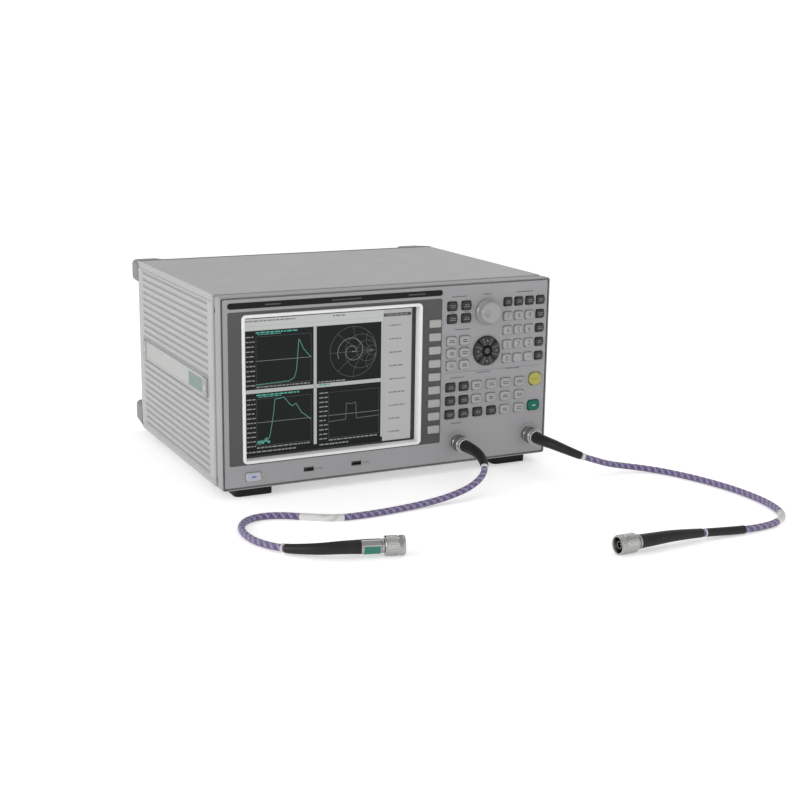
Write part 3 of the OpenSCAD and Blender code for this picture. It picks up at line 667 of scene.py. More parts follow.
def free_nut(name, start, along):
    """Knurled coupling nut with plain rims, a groove and a hollow front."""
    groove, band, rim = NUT_L * 0.62, NUT_L * 0.72 + 0.8, NUT_L - 1.2
    outer = [(0, 0.9), (0.6, 0.97), (1.8, 1.0), (2.4, 0.985), (groove, 0.985), (groove + 0.8, 0.93),
             (NUT_L * 0.72, 0.93), (band, 0.985), (rim, 0.985), (NUT_L - 0.4, 0.96), (NUT_L, 0.93)]
    inner = [(NUT_L - 0.1, 8.45), (NUT_L - 0.8, 8.05), (6.2, 8.05), (6.2, NUT_BORE), (0, NUT_BORE)]
    shape = knurling(40, 0.035, ((2.4, groove), (band, rim)))
    loops = turned(start, along, [(x, NUT_R * share) for x, share in outer], 160, shape)
    loops += turned(start, along, inner, 160)
    body = name + "_far_nut"
    nut = new_piece(name + "_free_nut", *loft(loops, joined=True), STEEL, body, soft_angle=50)
    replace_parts(nut, body)
    return nut


def plug_label(end, along):
    """A coloured label round the lower front of the first plug's ferrule."""
    angles = [-math.radians(a) for a in range(-110, 17, 6)]
    loops = []
    for distance in (3, 19.5):
        place = end + along * distance
        loops.append(ring(place, along, angles, 7.97) + ring(place, along, angles[::-1], 7.6))
    return new_piece("plug_1_label", *loft(loops), LABEL_GREEN)


def make_plug(index):
    """Ferrule, nut shoulder, inner sleeve and centre pin of a free connector, and its nut."""
    end = Vector(ROUTES[index][-1])
    along = (end - Vector(ROUTES[index][-2])).normalized()
    ferrule = FERRULES[index]
    front = end + along * ferrule
    collar = max(ferrule - 3, 1)
    body = Solid()
    body.turn(end, along, [(0, 7), (0.4, 7.6), (collar - 0.6, 7.8), (collar - 0.2, 7), (collar, 7)], 64)
    body.turn(end, along, [(collar - 0.1, 6.8), (collar + 0.4, 7.4), (ferrule - 0.4, 7.4),
                           (ferrule - 0.1, 7), (ferrule - 0.1, 6), (ferrule + 6, 6)], 64)
    body.turn(front, along, [(5.9, 4), (18.5, 4), (18.8, 3.8), (18.8, 3.4), (7, 3.2)], 48)
    pin = Solid()
    pin.turn(front, along, [(6.5, 0.8), (16.5, 0.8), (17.2, 0.4)], 24)
    pieces = [body.piece(f"plug_{index + 1}", STEEL), pin.piece(f"plug_{index + 1}_pin", GOLD)]
    if index == 0:
        pieces.append(plug_label(end, along))
    stand_in(pieces, "cable_plugs")
    return pieces + [free_nut(f"cable_{index + 1}", front + along * 0.2, along)]


def port_nut(index):
    """Nut on the test port, knurled, with its rear collar."""
    low, high = node_box("port_nuts")
    span = high[1] - low[1]
    place = (ROUTES[index][0][0], low[1], ROUTES[index][0][2])
    outer = [(0, 8.2), (0.5, 8.7), (3, 8.7), (3.4, 9.5), (4.2, 10.1), (5, 10.1), (span - 3.5, 10.1),
             (span - 2.8, 9.6), (span - 2.2, 10.1), (span - 0.5, 10.1), (span, 9.6)]
    inner = [(span, 8.4), (4.6, 8.1), (4.6, 4), (0, 4)]
    loops = turned(place, (0, 1, 0), outer, 144, knurling(36, 0.04, ((4.5, span - 3),)))
    loops += turned(place, (0, 1, 0), inner, 144)
    nut = new_piece(f"port_nut_{index + 1}", *loft(loops, joined=True), STEEL, soft_angle=50)
    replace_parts(nut, "port_nuts")
    return nut


def make_cable(index):
    """One test cable: braid, boots, rings, sleeves, the nut on its port and its free plug."""
    number = index + 1
    route = smooth_route(ROUTES[index])
    boot_end = BOOT_SPANS * PER_SPAN
    cable = tube_along(f"test_cable_{number}", route, [CABLE_D / 2] * len(route), BRAID)
    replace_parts(cable, f"cable_{number}")
    boots = [make_boot(f"boot_{number}_port", route[:boot_end + 1]),
             make_boot(f"boot_{number}_free", route[:-boot_end - 2:-1])]
    stand_in(boots, "cable_boots")
    last = len(route) - boot_end - 2
    rings = [make_ring(f"boot_{number}_port_ring", route, boot_end + 1, 4.5, 4),
             make_ring(f"boot_{number}_free_ring", route, last, 4.7, FREE_RINGS[index])]
    with_pieces = boots + rings + [port_nut(index)] + make_plug(index)
    for word, first, last, radius, material in SLEEVES[index]:
        covered = route[first:last]
        with_pieces.append(tube_along(f"{word}_{number}", covered, [radius] * len(covered), material))


for cable_index in (0, 1):
    make_cable(cable_index)


# ---------- front: keys ----------

BASE_Z = 12                      # on the front, heights are given above the case's underside
KEY_FRONT = -171
PANEL_Y = node_box("front_panel")[0][1]
FLANGE_Y, FLANGE_T, FLANGE_W = -165.45, 1.4, 0.9
STROKES = {   # each numeral's strokes, as shares of its width and height
    "0": [[(0.5, 1), (0.1, 0.8), (0, 0.5), (0.1, 0.2), (0.5, 0), (0.9, 0.2), (1, 0.5), (0.9, 0.8),
           (0.5, 1)]],
    "1": [[(0.2, 0.8), (0.55, 1), (0.55, 0)], [(0.2, 0), (0.9, 0)]],
    "2": [[(0, 0.8), (0.25, 1), (0.75, 1), (1, 0.8), (1, 0.6), (0, 0), (1, 0)]],
    "3": [[(0, 1), (1, 1), (0.5, 0.6), (0.9, 0.5), (1, 0.25), (0.75, 0), (0.25, 0), (0, 0.2)]],
    "4": [[(0.75, 0), (0.75, 1), (0, 0.3), (1, 0.3)]],
    "5": [[(1, 1), (0.1, 1), (0, 0.55), (0.7, 0.6), (1, 0.35), (0.75, 0), (0, 0.05)]],
    "6": [[(0.9, 1), (0.3, 0.85), (0, 0.4), (0.15, 0), (0.85, 0), (1, 0.3), (0.8, 0.55), (0.05, 0.45)]],
    "7": [[(0, 1), (1, 1), (0.35, 0)]],
    "8": [[(0.5, 0.53), (0.1, 0.75), (0.5, 1), (0.9, 0.75), (0.5, 0.53), (0, 0.25), (0.5, 0), (1, 0.25),
           (0.5, 0.53)]],
    "9": [[(0.1, 0), (0.7, 0.15), (1, 0.6), (0.85, 1), (0.15, 1), (0, 0.7), (0.2, 0.45), (0.95, 0.55)]],
    ".": [[(0.4, 0.05), (0.6, 0.05)]],
    "-": [[(0.1, 0.5), (0.9, 0.5)]],
}


def steps_of(start, pitch, count):
    return [start + pitch * i for i in range(count)]


def cap(solid, place, size, radius, dish=0.0):
    """A key cap with soft edges, its stem and the flange that holds it behind the panel."""
    (w, h), r, front, grow = size, radius, KEY_FRONT, 2 * FLANGE_W
    sections = [(w + grow, h + grow, r, FLANGE_Y + FLANGE_T), (w + grow, h + grow, r, FLANGE_Y),
                (w, h, r, FLANGE_Y), (w, h, r, front + 1.1), (w - 0.3, h - 0.3, r, front + 0.6),
                (w - 0.9, h - 0.9, r * 0.95, front + 0.22), (w - 1.8, h - 1.8, r * 0.9, front),
                (w * 0.55, h * 0.55, r * 0.6, front + dish * 0.8),
                (w * 0.2, h * 0.2, r * 0.2, front + dish)]
    solid.loft(facing((place[0], place[1] + BASE_Z), sections, 8))


def words(solid, place, width, rows, rng, height=1.05, y=KEY_FRONT):
    """Small bars that stand for a legend: each row is one or two short dashes."""
    pitch = 2.3
    for row in range(rows):
        z = place[1] + BASE_Z + (rows - 1) * pitch / 2 - row * pitch
        half = width * rng.uniform(0.65, 1.0) / 2
        split = rng.random() < 0.45 and half > 2
        for a, b in [(-half, -0.3), (0.5, half)] if split else [(-half, half)]:
            solid.take(*bar(place[0] + a, z - height / 2, place[0] + b, z + height / 2, y))


def numeral(solid, text, place, height):
    """A numeral in strokes 0.75 wide, centred on the place."""
    width, middle_z = height * 0.6, place[1] + BASE_Z
    for stroke in STROKES[text]:
        points = [(place[0] + (a - 0.5) * width, middle_z + (b - 0.5) * height) for a, b in stroke]
        solid.take(*line(points, 0.75, KEY_FRONT))


def key_bank(node, xs, zs, size, radius, finish, ink, legends=None):
    """All the keys of one CAD node, row by row, and their legends: words, numerals or none."""
    caps, marks = Solid(), Solid()
    rng = random.Random(node)
    for i, place in enumerate((x, z) for z in zs for x in xs):
        cap(caps, place, size, radius)
        if legends is None:
            words(marks, place, size[0] * 0.62, 2, rng)
        elif legends:
            numeral(marks, legends[i], place, size[1] * 0.5)
    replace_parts(caps.piece(node + "_caps", finish, node), node)
    if marks.verts:
        marks.piece(node + "_legends", ink, node)


def make_keys():
    """Every bank of keys, from its columns and rows."""
    dark, light = (4.2, DARK_KEY, PRINT_DIM), (3, LIGHT_KEY, PRINT_DARK)
    block, entry = (13, 11), (11.5, 10.5)
    entry_x, entry_z = steps_of(153.5, 15.3, 4), steps_of(195.2, -17.4, 5)
    marker_x, low_z = steps_of(112.7, 20.1, 4), [95.5, 78.7, 62]
    key_bank("softkeys", [54.5], steps_of(175.2, -16.16, 9), (15.5, 9.7), 1.6, SOFT_KEY, PRINT_DARK, "")
    key_bank("channel_keys", [77.3, 96.3], [194.3, 179], block, *dark)
    key_bank("response_keys", [77, 94.8], [152.2, 137.4, 122.4], block, *light)
    key_bank("entry_top_keys", entry_x, entry_z[:1], entry, *dark)
    key_bank("entry_side_keys", entry_x[3:], entry_z[1:], entry, *dark)
    key_bank("number_keys", entry_x[:3], entry_z[1:], entry, *light, "7894561230.-")
    key_bank("stimulus_keys", [77, 95.4], low_z[:2], block, *dark)
    key_bank("sweep_keys", steps_of(76.5, 19.3, 4), low_z[2:], block, *dark)
    key_bank("marker_keys", marker_x, low_z[:2], block, *light)
    key_bank("state_keys", marker_x[2:], low_z[2:], block, *light)


def big_key(node, place, size, radius, finish, ink, mark_width):
    """A single coloured key with a dished face and a bar as its mark."""
    caps = Solid()
    cap(caps, place, size, radius, dish=0.4)
    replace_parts(caps.piece(node + "_cap", finish, node), node)
    outline = round_rect(mark_width, 1.6, 0.7, middle=(place[0], place[1] + BASE_Z))
    new_piece(node + "_mark", *prism(outline, KEY_FRONT - 0.05, KEY_FRONT + 0.4), ink, node)


def make_knob():
    """The tuning knob: a tapered skirt, a flat face and a finger dimple left of its middle."""
    x, z, back, sides = 125, 197, -169.6, 72
    depth, face_radius, face_rings = 11.4, 11.4, 20
    dimple_x, dimple_radius, dimple_depth = x - 6, 4.7, 2.2
    skirt = [(0, 15), (0.2, 15.4), (0.8, 15.5), (1.6, 15.3), (2, 14.8), (6, 13.9), (9.5, 13.1),
             (10.5, 12.7), (11.1, 12.1), (11.35, face_radius)]
    loops = turned((x, back, z), (0, -1, 0), skirt, sides)
    for i in range(1, face_rings):
        radius = face_radius * (1 - i / face_rings)
        loop = []
        for flat in turned((x, back - depth, z), (0, -1, 0), [(0, radius)], sides)[0]:
            off = math.hypot(flat.x - dimple_x, flat.z - z)
            sink = dimple_depth * max(0.0, 1 - (off / dimple_radius) ** 2) ** 0.8
            loop.append((flat.x, flat.y + sink, flat.z))
        loops.append(loop)
    knob = new_piece("tuning_knob_cap", *loft(loops), KNOB, "tuning_knob", soft_angle=50)
    shaft = Solid()
    shaft.turn((x, -170, z), (0, 1, 0), [(0, 3.3), (0.2, 3.35), (14.6, 3.35), (15, 3)], 32)
    stand_in([knob, shaft.piece("tuning_knob_shaft", STEEL, "tuning_knob")], "tuning_knob")


def sector(middle, inner, outer, start, end, steps=14):
    """Outline of a piece of a ring, angles in degrees, anticlockwise from +X."""
    angles = [math.radians(start + (end - start) * i / steps) for i in range(steps + 1)]
    return circle(*middle, outer, angles) + circle(*middle, inner, angles[::-1])


def make_arrow_pad():
    """Four arrow keys round a middle key, with an arrow and two lines on each."""
    x, z, front = 125.2, 149.2, -171.6
    middle = (x, z)
    for node, heading in (("right_key", 0), ("up_key", 90), ("left_key", 180), ("down_key", 270)):
        loops = []
        for inset, y in ((0, FLANGE_Y), (0, front + 0.8), (0.25, front + 0.3), (0.8, front)):
            half = 43 - math.degrees(inset / 12)
            outline = sector(middle, 6.6 + inset, 18 - inset, heading - half, heading + half)
            loops.append([(px, y, pz) for px, pz in outline])
        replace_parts(new_piece(node + "_cap", *loft(loops), DARK_KEY, node), node)
        marks = Solid()
        for side in (-22.5, 22.5):
            a = math.radians(heading + side)
            marks.take(*line([circle(x, z, r, [a])[0] for r in (7.8, 17)], 0.7, front))
        a = math.radians(heading)
        ahead, across = Vector((math.cos(a), math.sin(a))), Vector((-math.sin(a), math.cos(a)))
        tip = Vector(middle) + ahead * 14.2
        tail = tip - ahead * 2.6
        marks.take(*prism([tip, tail + across * 1.9, tail - across * 1.9], front - SKIN, front))
        marks.piece(node + "_marks", PRINT_DIM, node)
    hub = [(0, 4.6), (5.8, 4.6), (6.3, 4.3), (6.55, 3.8), (6.45, 1.5)]
    button = new_piece("center_key_cap", *loft(turned((x, FLANGE_Y, z), (0, -1, 0), hub)), DARK_KEY,
                       "center_key", soft_angle=45)
    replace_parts(button, "center_key")
    outline = sector(middle, 1.2, 2.1, 20, 320)
    new_piece("center_key_mark", *prism(outline, front - 0.46, front), PRINT_DIM, "center_key")


make_keys()
big_key("trigger_key", (195.5, 96.5), (17, 16), 7.4, YELLOW_KEY, PRINT_OCHRE, 8)
big_key("preset_key", (194.3, 63), (17, 13), 5.8, GREEN_KEY, PRINT_PALE, 5)
big_key("power_key", (-175.5, 14.2), (18, 9.8), 2.2, POWER_KEY, PRINT_BLUE, 5)
make_knob()
make_arrow_pad()


# ---------- front: display ----------

SCREEN_LEFT, SCREEN_TOP = -183.5, 206.5      # top left corner of the lit picture
SCREEN_W, SCREEN_H = 211.0, 158.0
SCREEN_Y = -161.1
LAYER = 0.05                                 # how far one layer of the picture stands over the next
CURVES = {   # (share of width, share of height from the top) along each graph's curve
    "band_pass": [(0, 0.985), (0.60, 0.96), (0.69, 0.90), (0.73, 0.75), (0.755, 0.40), (0.775, 0.10),
                  (0.80, 0.15), (0.86, 0.31), (0.92, 0.40), (1, 0.50)],
    "roll_off": [(0, 0.95), (0.20, 0.86), (0.24, 0.78), (0.276, 0.55), (0.31, 0.30), (0.33, 0.03),
                 (0.50, 0.0), (0.60, 0.16), (0.655, 0.21), (0.72, 0.155), (0.81, 0.35), (1, 0.54)],
    "step": [(0, 0.64), (0.34, 0.62), (0.345, 0.26), (0.44, 0.29), (0.54, 0.26), (0.545, 0.62),
             (1, 0.60)],
}
CURVE_POINTS = 130
TRACE_POINTS = 90       # along the loop in the impedance chart
NOISY_SHARE = 0.24      # the left part of the roll-off, below the noise floor
NOISE_BLOCKS = ((0.02, 0.94), (0.08, 0.96), (0.14, 0.92), (0.19, 0.955))
GRAPHS = (   # left, top, right, bottom, curve
    (0.006, 0.086, 0.403, 0.513, "band_pass"),
    (0.006, 0.541, 0.403, 0.962, "roll_off"),
    (0.427, 0.541, 0.812, 0.962, "step"),
)
PICTURE = {   # each part's finish
    "back": LIT_BLACK, "tool_bar": LIT_WHITE, "label_column": LIT_PALE, "rails": LIT_RAIL,
    "title_bar": LIT_TITLE, "graticule": LIT_LINE, "labels": LIT_LABEL, "headers": LIT_TEAL,
    "traces": LIT_DIM, "dark_labels": LIT_INK, "chart": LIT_LINE, "chart_trace": LIT_LABEL,
}
BOXES = (   # part, left, top, right, bottom, layer
    ("back", 0, 0, 1, 1, 0), ("tool_bar", 0, 0, 0.823, 0.085, 1), ("label_column", 0.823, 0, 1, 1, 1),
    ("title_bar", 0.826, 0.028, 0.995, 0.052, 2), ("rails", 0.0, 0.052, 0.823, 0.056, 2),
    ("rails", 0.0, 0.082, 0.823, 0.086, 2), ("rails", 0.406, 0.085, 0.424, 0.965, 1),
    ("rails", 0.812, 0.085, 0.826, 0.965, 1), ("rails", 0.0, 0.513, 0.812, 0.541, 1),
    ("rails", 0.0, 0.085, 0.006, 0.985, 1),
)


def on_screen(u, v):
    """A place on the picture, from fractions of its width and of its height from the top."""
    return SCREEN_LEFT + SCREEN_W * u, SCREEN_TOP - SCREEN_H * v


def screen_box(solid, u0, v0, u1, v1, layer):
    """A filled box from its top left to its bottom right corner, on one layer of the picture."""
    solid.take(*bar(*on_screen(u0, v1), *on_screen(u1, v0), SCREEN_Y - layer * LAYER))


def screen_line(solid, points, width, layer, closed=False):
    solid.take(*line([on_screen(u, v) for u, v in points], width, SCREEN_Y - layer * LAYER, closed))


def screen_words(solid, u0, u1, v, height, rng, layer=3):
    """A row of short dashes from u0 to u1, as small text looks from a step away."""
    u = u0
    while u < u1 - 0.008:
        end = min(u1, u + rng.uniform(0.010, 0.030))
        screen_box(solid, u, v, end, v + height, layer)
        u = end + 0.005


def trace_points(kind):
    """Points along a graph's curve, with a little measuring noise."""
    rng = random.Random(kind)
    knots = CURVES[kind]
    points = []
    for i in range(CURVE_POINTS):
        t = i / (CURVE_POINTS - 1)
        k = max(j for j in range(len(knots) - 1) if knots[j][0] <= t)
        (t0, level0), (t1, level1) = knots[k], knots[k + 1]
        noise = 0.045 if kind == "roll_off" and t < NOISY_SHARE else 0.009
        points.append((t, level0 + (level1 - level0) * (t - t0) / (t1 - t0) + rng.uniform(-noise, noise)))
    return points


def graph_window(parts, u0, v0, u1, v1, kind, rng):
    """A graph: axis labels and ticks, its border and middle line, a header in two rows, and its curve."""
    lines, labels, headers = parts["graticule"], parts["labels"], parts["headers"]
    left, right, top, bottom = u0 + 0.068, u1 - 0.012, v0 + 0.045, v1 - 0.030
    span, drop = right - left, bottom - top
    for i in range(11):
        v = top + drop * i / 10
        screen_words(labels, u0 + 0.012, left - 0.006, v - 0.005, 0.0085, rng)
        screen_box(lines, left, v - 0.0006, left + 0.006, v + 0.0010, 1)
    screen_line(lines, [(left, top), (right, top), (right, bottom), (left, bottom)], 0.35, 1, True)
    middle = (top + bottom) / 2
    screen_box(labels, left, middle - 0.0014, right, middle + 0.0014, 1)
    screen_words(labels, left, u1 - 0.02, v1 - 0.020, 0.009, rng)
    points = [(left + span * t, top + drop * v) for t, v in trace_points(kind)]
    if kind == "step":
        screen_line(lines, points, 0.8, 4)
        return
    screen_words(headers, left, left + span * 0.78, v0 + 0.010, 0.011, rng)
    screen_words(headers, left + 0.01, left + span * 0.45, v0 + 0.026, 0.006, rng)
    screen_line(parts["traces"], points, 0.8, 5)
    for share, v in NOISE_BLOCKS if kind == "roll_off" else ():
        screen_box(headers, left + span * share, top + drop * (v - 0.05),
                   left + span * (share + 0.05), top + drop * v, 4)


def impedance_chart(parts, u, v, radius):
    """Circles of constant resistance, arcs of constant reactance and a looping trace."""
    chart, trace = parts["chart"], parts["chart_trace"]
    depth, trace_y = SCREEN_Y - 2 * LAYER, SCREEN_Y - 4 * LAYER
    cx, cz = on_screen(u, v)
    right = cx + radius
    for share in (1.0, 0.68, 0.42, 0.2):
        r = radius * share
        chart.take(*line(circle(right - r, cz, r, full_turn(64)), 0.42, depth, closed=True))
    for reach in (0.45, 1.0, 2.2):
        r = radius * reach
        for sign in (-1, 1):
            points = []
            for place in circle(right, cz + sign * r, r, full_turn(96) + [2 * math.pi]):
                if math.hypot(place[0] - cx, place[1] - cz) <= radius * 1.001:
                    points.append(place)
                elif len(points) > 1:
                    break
                else:
                    points = []
            if len(points) > 2:
                chart.take(*line(points, 0.36, depth))
    chart.take(*line([(cx - radius, cz), (right, cz)], 0.4, depth))
    loop = []
    for i in range(TRACE_POINTS):
        t = i / (TRACE_POINTS - 1)
        r = radius * (0.62 - 0.50 * t + 0.06 * math.sin(9 * t))
        loop += circle(cx - 1.5, cz - 1, r, [math.radians(200 - 560 * t)])
    trace.take(*line(loop, 0.55, trace_y))
    trace.take(*bar(cx - 1.8, cz - 0.5, cx + 2.2, cz + 0.5, trace_y))


def make_picture():
    """The lit picture: a tool bar, four windows and a column of labels for the soft keys."""
    rng = random.Random(11)
    parts = {part: Solid() for part in PICTURE}
    ink, labels = parts["dark_labels"], parts["labels"]
    for part, *place in BOXES:
        screen_box(parts[part], *place)
    screen_words(ink, 0.010, 0.30, 0.012, 0.010, rng)
    screen_words(ink, 0.52, 0.60, 0.012, 0.010, rng)
    screen_words(ink, 0.84, 0.985, 0.034, 0.011, rng, 4)
    for v in steps_of(0.121, 0.1016, 9):
        screen_words(ink, 0.862, 0.862 + rng.uniform(0.06, 0.11), v - 0.006, 0.011, rng)
        screen_box(parts["rails"], 0.826, v + 0.045, 0.998, v + 0.047, 2)
    for graph in GRAPHS:
        graph_window(parts, *graph, rng)
    impedance_chart(parts, 0.643, 0.294, 29.5)
    screen_words(labels, 0.435, 0.60, 0.497, 0.009, rng)
    screen_words(parts["headers"], 0.435, 0.50, 0.517, 0.012, rng, 5)
    screen_words(labels, 0.0, 0.30, 0.970, 0.010, rng, 5)
    screen_words(labels, 0.44, 0.62, 0.970, 0.010, rng, 5)
    for part, finish in PICTURE.items():
        parts[part].piece("picture_" + part, finish)


make_picture()


# ---------- front: bezel, frame, name strip, sockets and print ----------

USB_PLACES = ((-107, 15), (-46.5, 15.2))
PORTS = ((88, 38.5), (188, 38.5))
THREAD_PITCH, THREAD_CREST, THREAD_ROOT = 1.06, 7.9, 7.5
TITLES = (   # x, height above the underside and width of each faint title bar
    (92, 165.7, 24), (86.5, 205.5, 22), (177, 206.5, 26), (125, 206.5, 16), (86, 107, 20),
    (122, 111, 20), (163, 112.5, 24), (86, 50.5, 18),
)
ROSE_TITLES = ((195, 79.6, 14), (194, 51.5, 14), (173, 51.8, 10))


def rect_ring(node, sections):
    """A closed frame: sections go round its cross-section as (inset, corner radius, y)."""
    middle, w, h = node_face(node)
    outlines = [(w - 2 * inset, h - 2 * inset, r, y) for inset, r, y in sections]
    return loft(facing(middle, outlines, 8), joined=True)


def make_bezel():
    """The pale frame round the display, stepped down to the glass."""
    low, high = node_box("display_bezel")
    front, back = low[1], high[1]
    sections = [(0, 5, back), (0, 5, front + 0.8), (0.3, 4.8, front + 0.25), (0.9, 4.4, front),
                (2.6, 3, front + 0.1), (3.3, 2.4, front + 0.5), (4, 1.6, front + 2.4), (4, 1.6, back)]
    piece = new_piece("bezel_frame", *rect_ring("display_bezel", sections), BEZEL, soft_angle=30)
    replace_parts(piece, "display_bezel")


def make_frame():
    """The front frame: soft outer edges, a broad groove round its side and a thin lip round the panel."""
    low, high = node_box("front_frame")
    front, back = low[1], high[1]
    lip_y, seat_y = -165.6, -163.6
    sections = [(0, 3, back), (0, 3, -147.4), (1.4, 3, -148), (1.4, 3, -153.5), (0, 3, -154.1),
                (0, 3, front + 0.7), (0.2, 3, front + 0.2), (0.5, 2.7, front), (0.9, 2.3, front),
                (1.2, 2, front + 0.3), (1.2, 2, lip_y), (6, 2, lip_y), (6, 2, seat_y), (4.5, 1, seat_y),
                (4.5, 1, back)]
    piece = new_piece("front_frame_ring", *rect_ring("front_frame", sections), FRAME, soft_angle=30)
    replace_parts(piece, "front_frame")
    # painted shade: a black slot in the side groove at each rack hole stands for the shaded inside of the
    # hole
    for side, word in ((-1, "left"), (1, "right")):
        for z, level in ((21.2, "low"), (217.2, "high")):
            outline = round_rect(3, 6.6, 1.5, middle=(-149.4, z))
            loops = [[(side * x, py, pz) for py, pz in outline] for x in (211.25, 209)]
            new_piece(f"rack_hole_shade_{word}_{level}", *loft(loops), BLACK_AND_SHADE)


def make_name_strip():
    """The glossy strip over the display, with three short bars for its words."""
    low, high = node_box("name_strip")
    middle, w, h = node_face("name_strip")
    sections = [(w, h, 3, high[1]), (w, h, 3, low[1] + 0.2), (w - 0.5, h - 0.5, 2.8, low[1])]
    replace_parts(new_piece("name_strip_gloss", *loft(facing(middle, sections)), GLOSS), "name_strip")
    marks = Solid()
    for x, width, seed in ((-150, 26, 3), (-60, 50, 4), (30, 24, 6)):
        words(marks, (x, middle[1] - BASE_Z), width, 1, random.Random(seed), 1.6, low[1])
    marks.piece("name_strip_print", PRINT_DARK)


def make_led():
    """The lens of the standby lamp."""
    low, high = node_box("standby_led")
    x, z = node_face("standby_led")[0]
    span = high[1] - low[1]
    lens = Solid()
    lens.turn((x, high[1], z), (0, -1, 0), [(0, 1.5), (span - 0.6, 1.5), (span - 0.2, 1.1), (span, 0.3)],
              24)
    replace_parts(lens.piece("standby_led_lens", AMBER), "standby_led")


def make_usb():
    """Two USB sockets: a bent steel shell with spring tongues and a black contact bar."""
    shells, bars, pins = Solid(), Solid(), Solid()
    front = PANEL_Y + 0.6

    def strip(solid, x, z, outlines):
        solid.loft([[(x + dx, front + depth, z + dz) for dx, dz in outline] for depth, outline in outlines])

    for x, height in USB_PLACES:
        z = height + BASE_Z
        shells.loft(facing((x, z), [(13, 5.6, 0.3, front + 14.4), (13, 5.6, 0.3, front),
                                    (12.4, 5, 0.3, front), (12.4, 5, 0.3, front + 12.4)]))
        for side in (-3, 3):
            strip(shells, x + side, z - 2.5, [(depth, ((-1, 0), (1, 0), (0.8, lift), (-0.8, lift)))
                                              for depth, lift in ((2, 0.1), (6, 0.6), (11, 0.1))])
        bars.loft(facing((x, z + 1), [(11, 1.8, 0.2, front + 12.9), (11, 1.8, 0.2, front + 1.6),
                                      (10.6, 1.4, 0.2, front + 1.4)]))
        for px in steps_of(x - 3.75, 2.5, 4):
            contact = ((-0.5, 0), (0.5, 0), (0.5, -0.1), (-0.5, -0.1))
            strip(pins, px, z + 0.1, [(6, contact), (12.5, contact)])
    stand_in([shells.piece("usb_shells", STEEL), bars.piece("usb_tongues", BLACK_AND_SHADE),
              pins.piece("usb_contacts", GOLD)], "usb_sockets")


def make_ports():
    """Test ports: threaded barrel, collar, insulator bore and centre contact."""
    barrels, pins = Solid(), Solid()
    profile = [(0, 7.2), (0.5, THREAD_CREST)]
    for start in steps_of(0.6, THREAD_PITCH, 9):
        profile += [(start + THREAD_PITCH * share, radius) for share, radius in
                    ((0.3, THREAD_CREST), (0.55, THREAD_ROOT), (0.8, THREAD_ROOT), (1, THREAD_CREST))]
    profile += [(10.8, 7.9), (10.9, 8.4), (11.3, 8.8), (14.2, 8.8), (14.4, 8.4), (14.4, 7.9), (19.4, 7.9),
                (19.4, 5), (28, 5), (28, 2), (12, 2), (12, 4.2), (0.6, 4.2)]
    for x, z in PORTS:
        place = (x, node_box("port_sockets")[0][1], z)
        barrels.loft(turned(place, (0, 1, 0), profile, 64), joined=True)
        pins.turn(place, (0, 1, 0), [(0.5, 1), (1, 1.5), (12.1, 1.5)], 24)
    stand_in([barrels.piece("port_barrels", STEEL), pins.piece("port_pins", GOLD)], "port_sockets")


def panel_print():
    """Faint title bars over the key groups, and the marks beside the sockets and keys."""
    faint, rose = Solid(), Solid()
    rng = random.Random(5)
    y = PANEL_Y
    over_channel = [(x, 186.6, 9) for x in (77.3, 96.3)]
    over_response = [(x, z, 8) for x in (77, 94.8) for z in (144.7, 129.8)]
    for solid, titles, height in ((faint, TITLES, 1.3), (faint, over_channel, 0.9),
                                  (rose, ROSE_TITLES, 1.3), (faint, over_response, 0.8)):
        for x, z, width in titles:
            words(solid, (x, z), width, 1, rng, height, y)
    faint.take(*bar(70, 125.25, 202.5, 125.75, y))
    for x, height in ((-93.3, 14.8), (-32.4, 15.0)):
        z = height + BASE_Z
        for width, strokes in ((0.5, [(-4.2, 0), (4.2, 0)]), (0.4, [(-1.5, 0), (0.8, 1.6), (2.4, 1.6)]),
                               (0.4, [(-0.5, 0), (1.2, -1.5), (2.8, -1.5)])):
            faint.take(*line([(x + dx, z + dz) for dx, dz in strokes], width, y))
        faint.take(*prism(circle(x - 4.6, z, 0.9, full_turn(12)), y - SKIN, y))
    for x, z in PORTS:
        angles = [math.pi * (0.15 + 0.7 * k / 24) for k in range(25)]
        faint.take(*line(circle(x, z, 14.2, angles), 0.4, y))
    faint.piece("panel_print", PRINT_FAINT)
    rose.piece("panel_print_rose", PRINT_ROSE)


make_bezel()
make_frame()
make_ports()
make_name_strip()
make_led()
make_usb()
panel_print()


# ---------- sides ----------

RIB_PITCH, GROOVE_H = 8.4, 4.2
MID_Z = 123.0
SIDE_X = 212.5
GROOVE_SHAPE = (   # height from the groove's lower edge, depth
    (-1.0, 0), (-0.5, 0.12), (-0.1, 0.45), (0.3, 1.2), (0.7, 2.1), (1.2, 2.6), (3.0, 2.6), (3.5, 2.1),
    (3.9, 1.2), (4.3, 0.45), (4.7, 0.12), (5.2, 0))
GROOVE_END = (   # distance from the groove's end, share of its depth
    (0, 0), (0.6, 0.12), (1.2, 0.35), (2, 0.7), (2.8, 0.92), (3.8, 1))
GROOVE_FRONT, GROOVE_BACK = -126.2, 134.2
SIDE_PANEL_T = 4.4


def groove_offsets(low_z, high_z):
    """Heights over a side panel and how far in the surface is at each."""
    starts = [MID_Z + RIB_PITCH * (k + 0.5) for k in range(1, 12)]
    starts += [MID_Z - RIB_PITCH * (k + 0.5) - GROOVE_H for k in range(1, 12)]
    samples = [(low_z, 0.0), (low_z + 0.5, 0.0), (high_z - 0.5, 0.0), (high_z, 0.0)]
    return sorted(samples + [(start + dz, depth) for start in starts for dz, depth in GROOVE_SHAPE])


